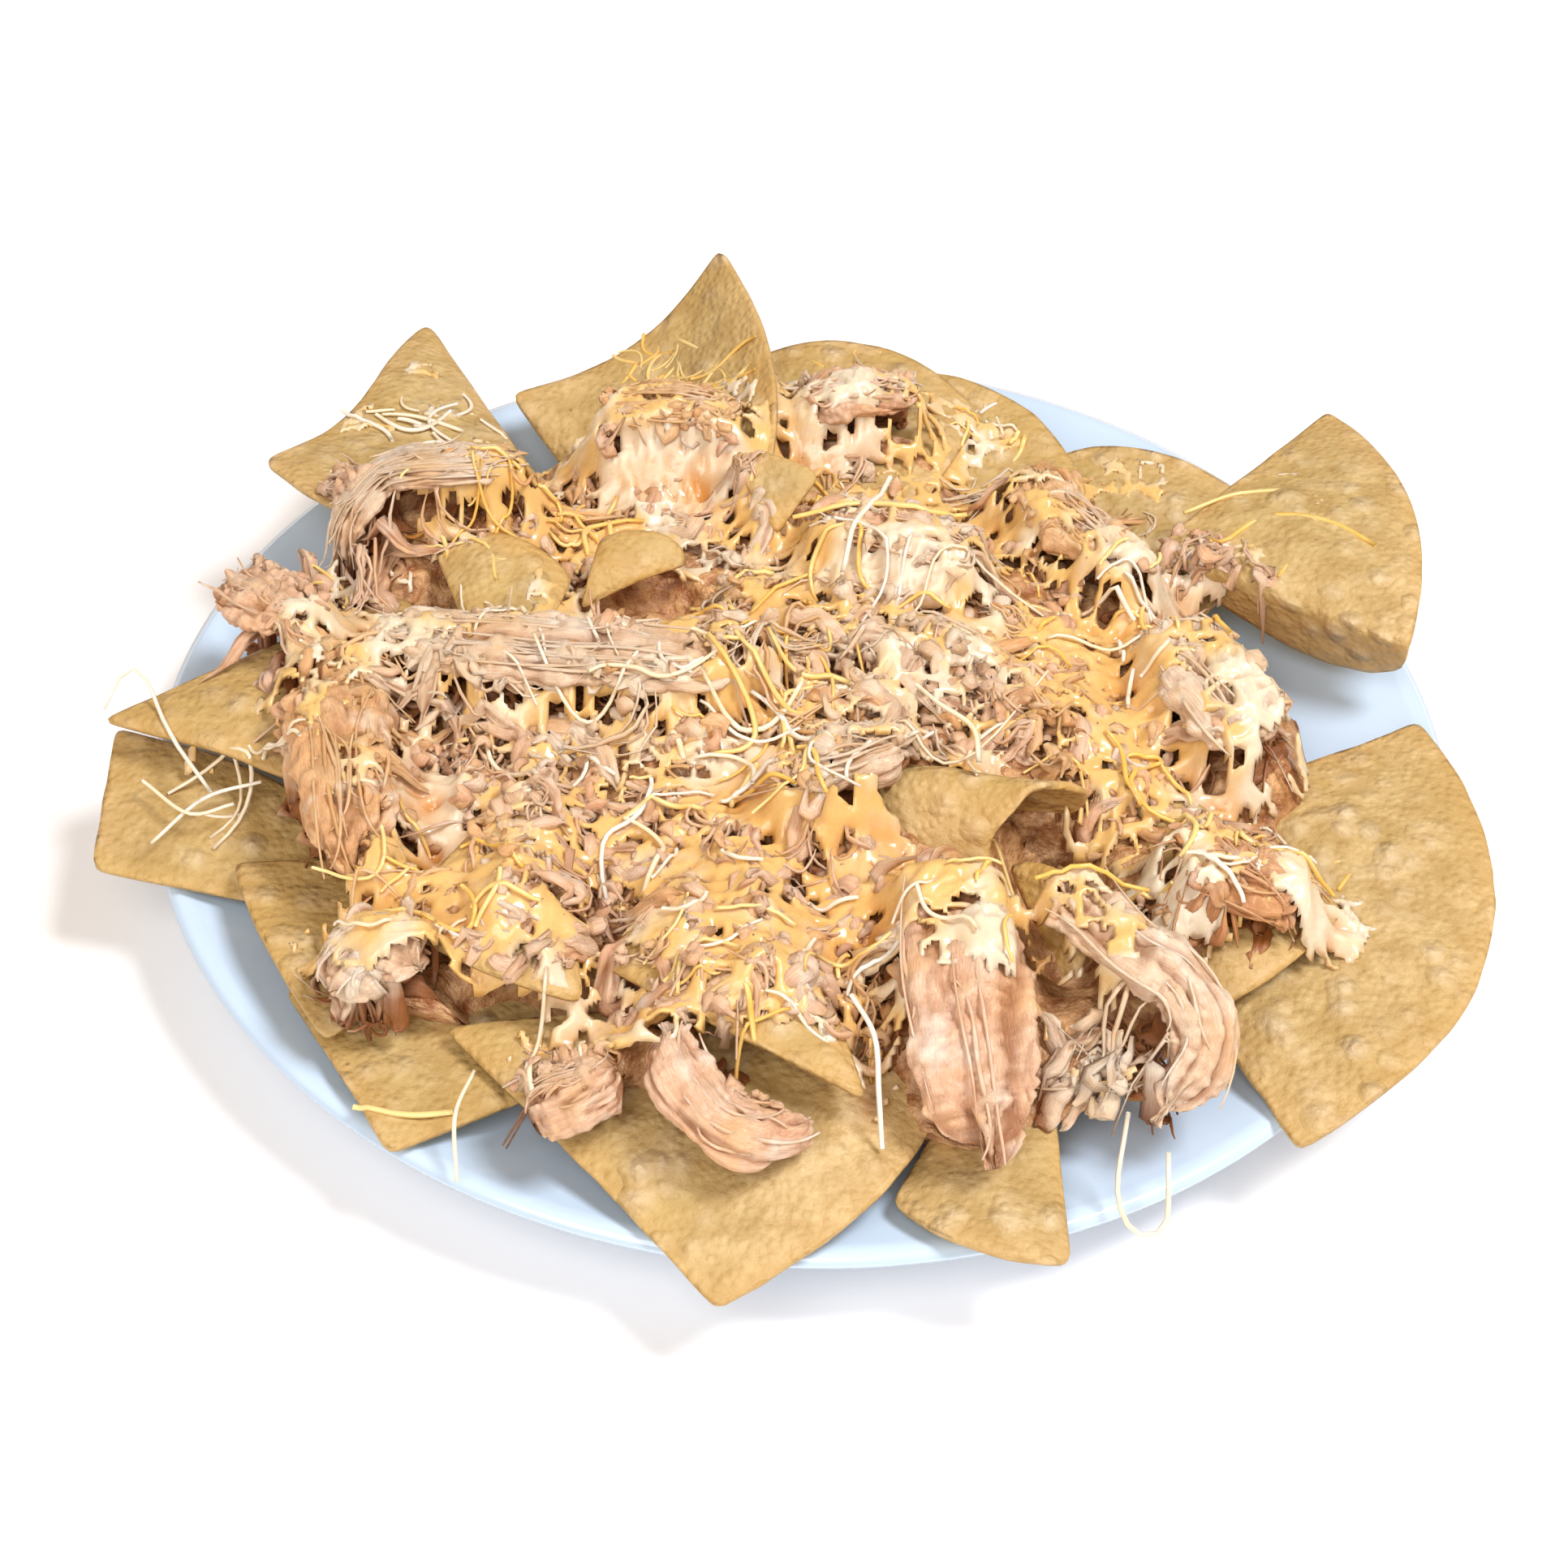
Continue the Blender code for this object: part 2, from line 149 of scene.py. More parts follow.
def piece(name, points, face_groups, finish, attributes=()):
    """One mesh piece from an array of points in millimetres and arrays of faces, one row per face.
    Attributes hold one value or one vector for each point."""
    mesh = bpy.data.meshes.new(name)
    points = np.asarray(points, dtype=np.float64).reshape(-1, 3) * MM
    mesh.vertices.add(len(points))
    mesh.vertices.foreach_set("co", points.astype(np.float32).ravel())
    face_groups = [np.asarray(g) for g in face_groups]
    corners = np.concatenate([g.ravel() for g in face_groups]).astype(np.int32)
    counts = np.concatenate([np.full(len(g), g.shape[1]) for g in face_groups])
    mesh.loops.add(len(corners))
    mesh.loops.foreach_set("vertex_index", corners)
    mesh.polygons.add(len(counts))
    starts = np.concatenate([[0], np.cumsum(counts)[:-1]]).astype(np.int32)
    mesh.polygons.foreach_set("loop_start", starts)
    mesh.polygons.foreach_set("use_smooth", np.ones(len(counts), dtype=bool))
    mesh.update(calc_edges=True)
    for key, values in dict(attributes).items():
        values = np.asarray(values, dtype=np.float32)
        kind = "FLOAT_VECTOR" if values.ndim == 2 else "FLOAT"
        field = "vector" if values.ndim == 2 else "value"
        mesh.attributes.new(key, kind, "POINT").data.foreach_set(field, values.ravel())
    made = bpy.data.objects.new(name, mesh)
    bpy.context.scene.collection.objects.link(made)
    mesh.materials.append(finish)
    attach(made, "root")
    return made


def wrapped_quads(rows, columns, start=0):
    """Faces between rows of points whose columns close into a ring."""
    i, j = np.meshgrid(np.arange(rows - 1), np.arange(columns), indexing="ij")
    k = (j + 1) % columns
    here, after = start + i * columns, start + (i + 1) * columns
    return np.stack([here + j, after + j, after + k, here + k], axis=-1).reshape(-1, 4)


def lathe_faces(rows, columns):
    """Faces between closed rings of points, with both ends closed."""
    ring = np.arange(columns)[None]
    return [wrapped_quads(rows, columns), ring, (rows - 1) * columns + ring[:, ::-1]]


# ---------------------------------------------------------------- strands: a ring carried along paths


def strand_frames(paths):
    """Side and upward vectors along each path. Each upward vector is carried from the one before it, so
    a strand doesn't twist."""
    along = unit(np.gradient(paths, axis=1))
    up = np.zeros_like(paths)
    first = np.array([0, 0, 1.0]) - along[:, 0] * along[:, 0, 2:3]
    up[:, 0] = unit(first + 1e-3)
    for i in range(1, paths.shape[1]):
        before = up[:, i - 1]
        up[:, i] = unit(before - along[:, i] * np.sum(before * along[:, i], axis=1, keepdims=True))
    return np.cross(along, up), up


def travelled(paths):
    """Distance along each path up to each of its points."""
    steps = np.linalg.norm(np.diff(paths, axis=1), axis=2)
    return np.concatenate([np.zeros((len(paths), 1)), np.cumsum(steps, axis=1)], axis=1)


def closed_tubes(count, rings, sides):
    """Faces of many tubes, one after another, with both ends closed."""
    block = rings * sides
    quads = wrapped_quads(rings, sides)[None] + (np.arange(count) * block)[:, None, None]
    ring = np.arange(sides)
    first = ring[None] + (np.arange(count) * block)[:, None]
    last = ring[None, ::-1] + (np.arange(count) * block)[:, None] + block - sides
    return [quads.reshape(-1, 4)[:, ::-1], first, last]


def strands(paths, radii, sides, flat=1.0, ridge=0.0, ragged=0.0, roll=0.0, twist=0.0, seed=0):
    """Closed tubes along many paths at once: each point is the path, plus the side and upward vectors
    times the cosine and sine of the turn and the half width, flattened upwards. Ridges run along the
    strand, ragged unevenness runs all over it, and the section is rolled about the path and twisted
    along it. It returns points, faces and the attributes that the food finishes read."""
    count, rings = radii.shape
    side, up = strand_frames(paths)
    t = np.linspace(0, 1, rings)[None, :, None]
    own = one_each(count, seed, 5)
    roll = (np.zeros(count) + roll)[:, None, None] + (np.zeros(count) + twist)[:, None, None] * (t - 0.5)
    side, up = side * np.cos(roll) + up * np.sin(roll), up * np.cos(roll) - side * np.sin(roll)
    turn = np.arange(sides) * tau / sides
    spin = own[:, None, None] * tau
    folds = np.rint(3 + 4 * own)[:, None, None]
    uneven = 1 + ridge * np.cos(folds * turn + spin + 1.5 * np.sin(3 * t + spin))
    uneven = uneven + 0.5 * ridge * np.cos((folds + 3) * turn - 2 * spin)
    flat = (np.zeros(count) + flat)[:, None, None]
    reach = radii[..., None] * uneven
    across, above = (reach * np.cos(turn))[..., None], (reach * flat * np.sin(turn))[..., None]
    rays = side[:, :, None] * across + up[:, :, None] * above
    points = paths[:, :, None] + rays
    if ragged:
        lumps = noise(points, 2.4, seed=41) + 0.6 * noise(points, 1.1, seed=42)
        points = points + rays * (ragged * lumps)[..., None]
    gone = travelled(paths)
    thread = np.zeros((count, rings, sides, 3))
    thread[..., 0] = np.cos(turn) * radii[..., None] + 20 * own[:, None, None]
    thread[..., 1] = np.sin(turn) * radii[..., None]
    thread[..., 2] = gone[..., None]
    tone = np.broadcast_to(own[:, None, None], (count, rings, sides))
    attributes = {"thread": thread.reshape(-1, 3), "tone": tone.reshape(-1)}
    return points.reshape(-1, 3), closed_tubes(count, rings, sides), attributes


def torn_meat(paths, half_width, half_height, strap, torn, turns, seed=0):
    """Torn pieces of breast along many paths at once: an ellipse carried along each path, shrunk to its
    ends. Thin deep cracks run where a noise stretched along the piece crosses zero, finer ones between
    them; slow lumps swell it, and towards the ends it breaks into crumbs."""
    count, rings = paths.shape[:2]
    side, up = strand_frames(paths)
    half_width, half_height = half_width[:, None, None], half_height[:, None, None]
    t = np.linspace(-1, 1, rings)[None, :, None]
    angle = (np.arange(turns) * tau / turns)[None, None]
    gone = travelled(paths)[..., None]
    own = (np.arange(count) * 7.3 + seed * 11.7)[:, None, None]
    across, above = half_width * np.cos(angle), half_height * np.sin(angle)
    side_by_side = np.stack(np.broadcast_arrays(across + own, above, 40 * np.sign(t)), axis=-1)
    reach = 0.16 + 0.16 * torn * noise(side_by_side, 0.8 * strap, seed=58)
    end = np.maximum(1 - (np.abs(t) * (1 + np.clip(reach, 0, 0.5))) ** 5, 0.012) ** 0.5
    solid = np.stack(np.broadcast_arrays(across + own, above, gone), axis=-1)
    across_grain = across + 0.9 * noise(solid, 7, seed=51) * np.minimum(half_width, 3) / 3 + own
    grain = np.stack(np.broadcast_arrays(across_grain, above, gone * 0.1), axis=-1)
    crack = np.exp(-((noise(grain, strap, seed=52) / 0.11) ** 2))
    line = np.exp(-((noise(grain, 0.42 * strap, seed=53) / 0.22) ** 2))
    tear = torn * np.clip((np.abs(t) - 0.4) / 0.45, 0.28, 1)
    crumbs = 1.7 * np.abs(noise(solid, 2.6, seed=54)) + 0.9 * np.abs(noise(solid, 1.3, seed=55)) - 0.85
    lump = noise(solid, 6, seed=56) + 0.5 * noise(solid, 3, seed=57)
    depth = np.minimum(np.clip(0.32 * strap, 0.8, 1.3), 0.5 * half_height)
    move = tear * crumbs + 0.4 * half_height * lump - depth * crack
    move = np.maximum(move - 0.06 * strap * line, -0.6 * half_height) * end**0.5
    out_x, out_z = np.cos(angle) / half_width, np.sin(angle) / half_height
    long = np.hypot(out_x, out_z)
    across = end * across + move * out_x / long
    above = end * above + move * out_z / long
    points = paths[:, :, None] + side[:, :, None] * across[..., None] + up[:, :, None] * above[..., None]
    thread = np.stack(np.broadcast_arrays(across + own, above, gone), axis=-1)
    shade = one_each(count, seed, 9)[:, None, None]
    tone = np.clip(0.5 + 0.6 * (shade - 0.5) - 0.45 * lump, 0, 1)
    # Attribute deep: painted shade in the cracks, strongest in the deep ones, less where the ends crumble.
    deep = np.clip(0.6 * crack + 0.15 * line - 0.5 * tear * crumbs, 0, 0.8)
    attributes = {"thread": thread.reshape(-1, 3), "tone": tone.reshape(-1), "deep": deep.reshape(-1)}
    return points.reshape(-1, 3), closed_tubes(count, rings, turns), attributes


def joined(parts):
    """Several results of strands() as one."""
    points, groups, attributes, offset = [], [[], [], []], {}, 0
    for p, faces, values in parts:
        points.append(p)
        for kind, group in zip(groups, faces):
            kind.append(group + offset)
        for key, value in values.items():
            attributes.setdefault(key, []).append(value)
        offset += len(p)
    faces = [group for kind in groups for group in kind]
    return np.concatenate(points), faces, {k: np.concatenate(v) for k, v in attributes.items()}


# ---------------------------------------------------------------- finishes


def group_of(name, inputs, outputs):
    """An empty node group with these sockets, and its input and output nodes."""
    tree = bpy.data.node_groups.new(name, "ShaderNodeTree")
    for socket, kind, value in inputs:
        made = tree.interface.new_socket(socket, in_out="INPUT", socket_type=kind)
        made.default_value = value
    for socket, kind in outputs:
        tree.interface.new_socket(socket, in_out="OUTPUT", socket_type=kind)
    return tree, tree.nodes.new("NodeGroupInput"), tree.nodes.new("NodeGroupOutput")


def wire(tree, *pairs):
    """Links each pair of sockets."""
    for a, b in pairs:
        tree.links.new(a, b)


def put(tree, value, socket):
    """Gives a socket a number or a colour, or links another socket to it."""
    if isinstance(value, (int, float)):
        socket.default_value = value
    elif isinstance(value, tuple):
        socket.default_value = (*value, 1.0)
    else:
        tree.links.new(value, socket)


def noise_node(tree, vector, scale, detail=3.0, roughness=0.55):
    """Cloudy noise from 0 to 1."""
    node = tree.nodes.new("ShaderNodeTexNoise")
    node.inputs["Scale"].default_value = scale
    node.inputs["Detail"].default_value = detail
    node.inputs["Roughness"].default_value = roughness
    tree.links.new(vector, node.inputs["Vector"])
    return node.outputs["Fac"]


def cells_node(tree, vector, scale, smooth=0.6):
    """Distance from the middle of the nearest cell, with the cells' borders smoothed."""
    node = tree.nodes.new("ShaderNodeTexVoronoi")
    node.feature = "SMOOTH_F1"
    node.inputs["Scale"].default_value = scale
    node.inputs["Smoothness"].default_value = smooth
    tree.links.new(vector, node.inputs["Vector"])
    return node.outputs["Distance"]


def math_node(tree, kind, a, b):
    """A sum on two values, each a number or a socket."""
    node = tree.nodes.new("ShaderNodeMath")
    node.operation = kind
    put(tree, a, node.inputs[0])
    put(tree, b, node.inputs[1])
    return node.outputs[0]


def times(tree, a, b):
    """The product of two values."""
    return math_node(tree, "MULTIPLY", a, b)


def plus(tree, a, b):
    """Two values added."""
    return math_node(tree, "ADD", a, b)


def span(tree, value, low, high, to_low=0.0, to_high=1.0):
    """The value's place between low and high, held between the two ends of the result."""
    node = tree.nodes.new("ShaderNodeMapRange")
    for key, number in (("From Min", low), ("From Max", high), ("To Min", to_low), ("To Max", to_high)):
        node.inputs[key].default_value = number
    tree.links.new(value, node.inputs["Value"])
    return node.outputs[0]


def blend(tree, share, a, b):
    """Colour a turned into colour b by a share from 0 to 1."""
    node = tree.nodes.new("ShaderNodeMix")
    node.data_type = "RGBA"
    node.blend_type = "MIX"
    colours = [socket for socket in node.inputs if socket.type == "RGBA"]
    for value, socket in zip((share, a, b), (node.inputs[0], *colours)):
        put(tree, value, socket)
    return [socket for socket in node.outputs if socket.type == "RGBA"][0]


def layered(tree, colour, *layers):
    """A colour with others laid over it in turn, each by its own share."""
    for share, over in layers:
        colour = blend(tree, share, colour, over)
    return colour


def attribute(tree, name, output="Fac"):
    """A mesh attribute of the piece."""
    node = tree.nodes.new("ShaderNodeAttribute")
    node.attribute_name = name
    return node.outputs[output]


def place(tree):
    """The place on the object, in metres."""
    return tree.nodes.new("ShaderNodeTexCoord").outputs["Object"]


def bump(tree, height, distance, strength=1.0):
    """A normal for relief of this height."""
    node = tree.nodes.new("ShaderNodeBump")
    node.inputs["Distance"].default_value = distance
    node.inputs["Strength"].default_value = strength
    tree.links.new(height, node.inputs["Height"])
    return node.outputs["Normal"]


def new_finish(name, **settings):
    """A material with one Principled shader. Settings are the shader's own constant sockets."""
    made = bpy.data.materials.new(name)
    made.use_nodes = True
    shader = made.node_tree.nodes["Principled BSDF"]
    for key, value in settings.items():
        shader.inputs[key.replace("_", " ")].default_value = value
    return made, made.node_tree, shader


def plate_finish():
    """White glaze, a little blue, with faint unevenness in its gloss."""
    made, tree, shader = new_finish("glaze", IOR=1.5, Coat_Weight=0.4, Coat_Roughness=0.04)
    where = place(tree)
    cloud = noise_node(tree, where, 18)
    colour = blend(tree, cloud, (0.52, 0.66, 0.84), (0.56, 0.70, 0.87))
    wire(
        tree,
        (colour, shader.inputs["Base Color"]),
        (span(tree, cloud, 0.3, 0.7, 0.1, 0.16), shader.inputs["Roughness"]),
        (bump(tree, noise_node(tree, where, 60, 1.0), 0.0004, 0.25), shader.inputs["Normal"]),
    )
    return made


def blister_group():
    """Fried dough: low round blisters of two sizes over a fine grain. It puts out a height, a mask of
    the blisters' tops, painted pale, partly the dough's own colour and partly painted light, and a mask
    of small burnt specks."""
    tree, given, out = group_of(
        "blisters",
        [("Vector", "NodeSocketVector", (0, 0, 0))],
        [("Height", "NodeSocketFloat"), ("Pale_lit_tops", "NodeSocketFloat"), ("Specks", "NodeSocketFloat")],
    )
    where = given.outputs["Vector"]
    large = span(tree, cells_node(tree, where, 165), 0.1, 0.5, 1.0, 0.0)
    small = span(tree, cells_node(tree, where, 620), 0.15, 0.6, 1.0, 0.0)
    patch = span(tree, noise_node(tree, where, 45, 2.0), 0.35, 0.65)
    grain = noise_node(tree, where, 1900, 2.0)
    raised = times(tree, large, patch)
    height = plus(tree, raised, times(tree, small, 0.16))
    height = plus(tree, height, times(tree, grain, 0.1))
    spots = span(tree, cells_node(tree, where, 150, 0.0), 0.035, 0.075, 1.0, 0.0)
    spots = times(tree, spots, span(tree, noise_node(tree, where, 60, 1.0), 0.5, 0.62))
    wire(
        tree,
        (height, out.inputs["Height"]),
        (raised, out.inputs["Pale_lit_tops"]),
        (spots, out.inputs["Specks"]),
    )
    return tree


def add_group(tree, group, vector):
    """The outputs of a shared group placed in this material."""
    node = tree.nodes.new("ShaderNodeGroup")
    node.node_tree = group
    tree.links.new(vector, node.inputs["Vector"])
    return node.outputs


def chip_finish(blisters):
    """Fried corn tortilla: pale on the blisters' tops, partly its own colour and partly painted light,
    deeper in between, golden where oil and juice have soaked in (attribute soak), browner along the
    rim (attribute rim)."""
    made, tree, shader = new_finish("tortilla", Specular_IOR_Level=0.4, Coat_Roughness=0.25)
    where = place(tree)
    found = add_group(tree, blisters, where)
    cloud = noise_node(tree, where, 28, 4.0)
    fine = noise_node(tree, where, 420, 3.0)
    middling = noise_node(tree, where, 130, 3.0, 0.6)
    soak = attribute(tree, "soak")
    colour = layered(
        tree,
        blend(tree, span(tree, cloud, 0.36, 0.64), (0.475, 0.34, 0.128), (0.585, 0.43, 0.21)),
        (span(tree, middling, 0.4, 0.62, 0.0, 0.65), (0.37, 0.235, 0.08)),
        # Pale blister tops: partly the dough's own colour, partly painted light on the domes.
        (times(tree, found["Pale_lit_tops"], 0.9), (0.70, 0.57, 0.38)),
        (span(tree, fine, 0.38, 0.68, 0.0, 0.5), (0.38, 0.235, 0.075)),
        (times(tree, soak, 0.8), (0.56, 0.31, 0.07)),
        (times(tree, attribute(tree, "rim"), 0.35), (0.62, 0.36, 0.11)),
        (attribute(tree, "burnt"), (0.20, 0.05, 0.015)),
        (times(tree, found["Specks"], 0.75), (0.20, 0.10, 0.04)),
    )
    oil = plus(tree, span(tree, cloud, 0.45, 0.7, 0.0, 0.3), times(tree, soak, 0.5))
    wire(
        tree,
        (colour, shader.inputs["Base Color"]),
        (span(tree, oil, 0.0, 0.8, 0.62, 0.3), shader.inputs["Roughness"]),
        (span(tree, oil, 0.1, 0.7, 0.0, 0.35), shader.inputs["Coat Weight"]),
        (bump(tree, found["Height"], 0.0015, 1.0), shader.inputs["Normal"]),
    )
    return made


def meat_finish(name, light, middle, dark):
    """Moist cooked chicken. The colour goes from strand to strand (attribute tone), streaks run along
    each strand (attribute thread), and painted shade darkens hollows and cracks (attribute deep)."""
    made, tree, shader = new_finish(
        name,
        Roughness=0.42,
        Subsurface_Weight=0.2,
        Subsurface_Scale=0.004,
        Coat_Weight=0.12,
        Coat_Roughness=0.2,
    )
    shader.inputs["Subsurface Radius"].default_value = (1.0, 0.45, 0.25)
    thread = attribute(tree, "thread", "Vector")
    stretch = tree.nodes.new("ShaderNodeMapping")
    stretch.inputs["Scale"].default_value = (1.0, 1.0, 0.09)
    tree.links.new(thread, stretch.inputs["Vector"])
    streak = noise_node(tree, stretch.outputs["Vector"], 3.4, 4.0, 0.65)
    cloud = noise_node(tree, place(tree), 130, 3.0)
    stain = noise_node(tree, place(tree), 75, 3.0, 0.65)
    colour = layered(
        tree,
        blend(tree, span(tree, attribute(tree, "tone"), 0.1, 0.9), light, middle),
        (span(tree, streak, 0.42, 0.68, 0.0, 0.5), dark),
        (span(tree, cloud, 0.5, 0.75, 0.0, 0.4), middle),
        (span(tree, stain, 0.52, 0.68, 0.0, 0.45), (0.76, 0.42, 0.16)),
        (span(tree, stain, 0.3, 0.44, 0.55, 0.0), (0.88, 0.79, 0.70)),
        # Painted shade: dark brown over what lies in hollows and cracks (attribute deep).
        (attribute(tree, "deep"), (0.27, 0.08, 0.01)),
    )
    wire(
        tree,
        (colour, shader.inputs["Base Color"]),
        (bump(tree, streak, 0.0006, 0.7), shader.inputs["Normal"]),
    )
    return made


def cheese_finish(name, light, deep, gloss):
    """Cheese: soft light inside it, a wet gloss where it has melted, a colour that goes from one kind to
    the other (attribute tone), and painted shade, orange-brown, in the recesses (attribute deep)."""
    made, tree, shader = new_finish(
        name, Subsurface_Weight=0.3, Subsurface_Scale=0.004, Coat_Weight=0.3, Coat_Roughness=0.12
    )
    shader.inputs["Subsurface Radius"].default_value = (1.0, 0.7, 0.3)
    where = place(tree)
    cloud = noise_node(tree, where, 110, 3.0)
    fine = noise_node(tree, where, 700, 2.0)
    mixed = plus(tree, attribute(tree, "tone"), span(tree, cloud, 0.35, 0.65, -0.3, 0.3))
    colour = blend(tree, span(tree, mixed, 0.1, 0.9), light, deep)
    # Painted shade: orange-brown over what lies in the recesses (attribute deep).
    colour = blend(tree, attribute(tree, "deep"), colour, (0.60, 0.24, 0.04))
    wire(
        tree,
        (colour, shader.inputs["Base Color"]),
        (span(tree, fine, 0.3, 0.7, gloss, gloss + 0.15), shader.inputs["Roughness"]),
        (bump(tree, cloud, 0.0008, 0.35), shader.inputs["Normal"]),
    )
    return made


def core_finish():
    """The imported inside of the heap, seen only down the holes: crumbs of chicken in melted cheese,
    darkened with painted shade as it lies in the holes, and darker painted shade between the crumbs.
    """
    made, tree, shader = new_finish("packed_heap_painted_shade", Roughness=0.4)
    where = place(tree)
    crumbs = noise_node(tree, where, 260, 4.0)
    cloud = noise_node(tree, where, 60, 2.0)
    # Chicken and cheese colours darkened with painted shade for the holes.
    colour = blend(tree, span(tree, cloud, 0.4, 0.6), (0.60, 0.33, 0.14), (0.70, 0.43, 0.22))
    # Painted shade: dark brown in the low gaps between crumbs.
    colour = blend(tree, span(tree, crumbs, 0.35, 0.65), (0.28, 0.10, 0.03), colour)
    wire(
        tree,
        (colour, shader.inputs["Base Color"]),
        (bump(tree, crumbs, 0.003, 0.8), shader.inputs["Normal"]),
    )
    return made


# ---------------------------------------------------------------- plate and chips


def plate(finish):
    """The plate's half section carried round its axis, with a foot ring under it."""
    section = [
        (0.01, FLOOR_TOP),
        (WELL_RADIUS - 14, FLOOR_TOP),
        (WELL_RADIUS, FLOOR_TOP + 1.2),
        (WELL_RADIUS + 12, FLOOR_TOP + 4.5),
        (PLATE_RADIUS - 12, PLATE_HEIGHT - 3),
        (PLATE_RADIUS - 3.4, PLATE_HEIGHT - 0.5),
        (PLATE_RADIUS - 1.4, PLATE_HEIGHT),
        (PLATE_RADIUS, PLATE_HEIGHT - 0.9),
        (PLATE_RADIUS - 0.6, PLATE_HEIGHT - 2.6),
        (PLATE_RADIUS - 13, PLATE_HEIGHT - 3 - PLATE_WALL),
        (FOOT_RADIUS + 8, FLOOR_TOP - PLATE_WALL + 1.2),
        (FOOT_RADIUS + 2.5, 1.6),
        (FOOT_RADIUS + 1.5, 0.0),
        (FOOT_RADIUS - 2.5, 0.0),
        (FOOT_RADIUS - 3.5, 1.6),
        (0.01, 1.8),
    ]
    curve = smooth_path(section, 110)
    curve[:, 1] = np.maximum(curve[:, 1], 0)
    turn = np.arange(PLATE_TURNS) * tau / PLATE_TURNS
    points = np.stack(
        [
            curve[:, :1] * np.cos(turn),
            curve[:, :1] * np.sin(turn),
            np.broadcast_to(curve[:, 1:], (len(curve), PLATE_TURNS)),
        ],
        axis=-1,
    )
    made = piece("plate_glazed", points, lathe_faces(len(curve), PLATE_TURNS), finish)
    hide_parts("plate")


# Each chip: its point, its left and right corners, how far the outer side bulges, how far the sheet bows
# up across and along, how much a side that is folded down hangs, how soft its corners are, and how far
# juice has soaked in.
CHIPS = {
    "chip_back_left": ((-87, 117, 31), (-113, 55, 39), (-53, 52, 33), 22, 3, -1, 0, 5, 0.05),
    "chip_back_tall": ((-66, 92, 31), (-22, 120, 51), (-24, 25, 26), 18, 5, -8, 0, 3, 0.25),
    "chip_back": ((6, 20, 28), (36, 86, 34), (-26, 88, 33), 19, 3, 2, 0, 3, 0.1),
    "chip_back_right": ((4, 34, 19), (58, 66, 29), (9, 104, 28), 13, 3, 1, 0, 3, 0.1),
    "chip_right_back": ((68, 12, 19), (96, 64, 27), (42, 77, 23), 14, 3, 1, 0, 3, 0.1),
    "chip_right_fan": ((70, 44, 33), (117, 14, 37), (110, 92, 35), 9, 3, 1, 14, 2.5, 0.15),
    "chip_right_big": ((53, -27, 19), (86, -99, 22), (119, 4, 26), 23, 2, 1, 0, 2.5, 0.1),
    "chip_right_inner": ((58, -14, 31), (71, -74, 27), (98, -50, 29), 3, 2, 2, 0, 3, 0.4),
    "chip_front_right": ((43, -60, 22), (17, -113, 21), (46, -125, 22), 5, 2, 1, 0, 2.5, 0.25),
    "chip_front": ((-60, -84, 26), (-11, -134, 19), (24, -70, 29), 15, 4, 1, 0, 2, 0.2),
    "chip_front_upper": ((-8, -40, 36), (-34, -76, 37), (12, -104, 36), 3, 3, 2, 0, 2.5, 0.5),
    "chip_front_left": ((-67, -108, 22), (-14, -78, 20), (-90, -72, 21), 10, 1, 1, 0, 2.5, 0.2),
    "chip_left_lower": ((-42, -40, 29), (-103, -46, 26), (-80, -88, 27), 2, 2, -1, 0, 3, 0.35),
    "chip_left_low": ((-129, -46, 23), (-68, -56, 17), (-131, -12, 26), 12, 2, 1, 0, 2.5, 0.25),
    "chip_left_point": ((-131, -18, 34), (-72, -40, 32), (-80, 20, 34), 8, 3, 1, 0, 2, 0.3),
    "chip_middle_left": ((-56, -20, 37), (-46, 18, 42), (-74, 26, 41), 6, 2, 2, 0, 3, 0.5),
    "chip_middle_upright": ((-44, 9, 42), (-24, 21, 44), (-41, 24, 47), 4, 2, 2, 0, 2, 0.7),
    "chip_middle_curl": ((-7, 35, 41), (1, 45, 49), (-17, 51, 48), 2, 1, 0, 0, 2, 0.7),
    "chip_front_left_upper": ((-46, -30, 40), (-70, -68, 36), (-36, -85, 36), 4, 2, 2, 0, 3, 0.5),
    "chip_middle_inner": ((49, -67, 20), (38, -43, 30), (55, -53, 31), 3, 1, 1, 0, 2, 0.8),
}

# How far the left and right sides of a chip bow out, or in if negative, and swing, where they do.
SIDE_BOWS = {
    "chip_back_left": ((-4, 2), (1, 0)),
    "chip_back_tall": ((-2, 0), (0, 0)),
}
STRAIGHT = ((0, 0), (0, 0))

# The one chip with a burnt spot on its edge, the spot's middle and its half sizes.
BURNT_CHIP = "chip_front"
BURNT_SPOT = (13, -98, 24)
BURNT_REACH = (3.0, 6.0, 6.0)


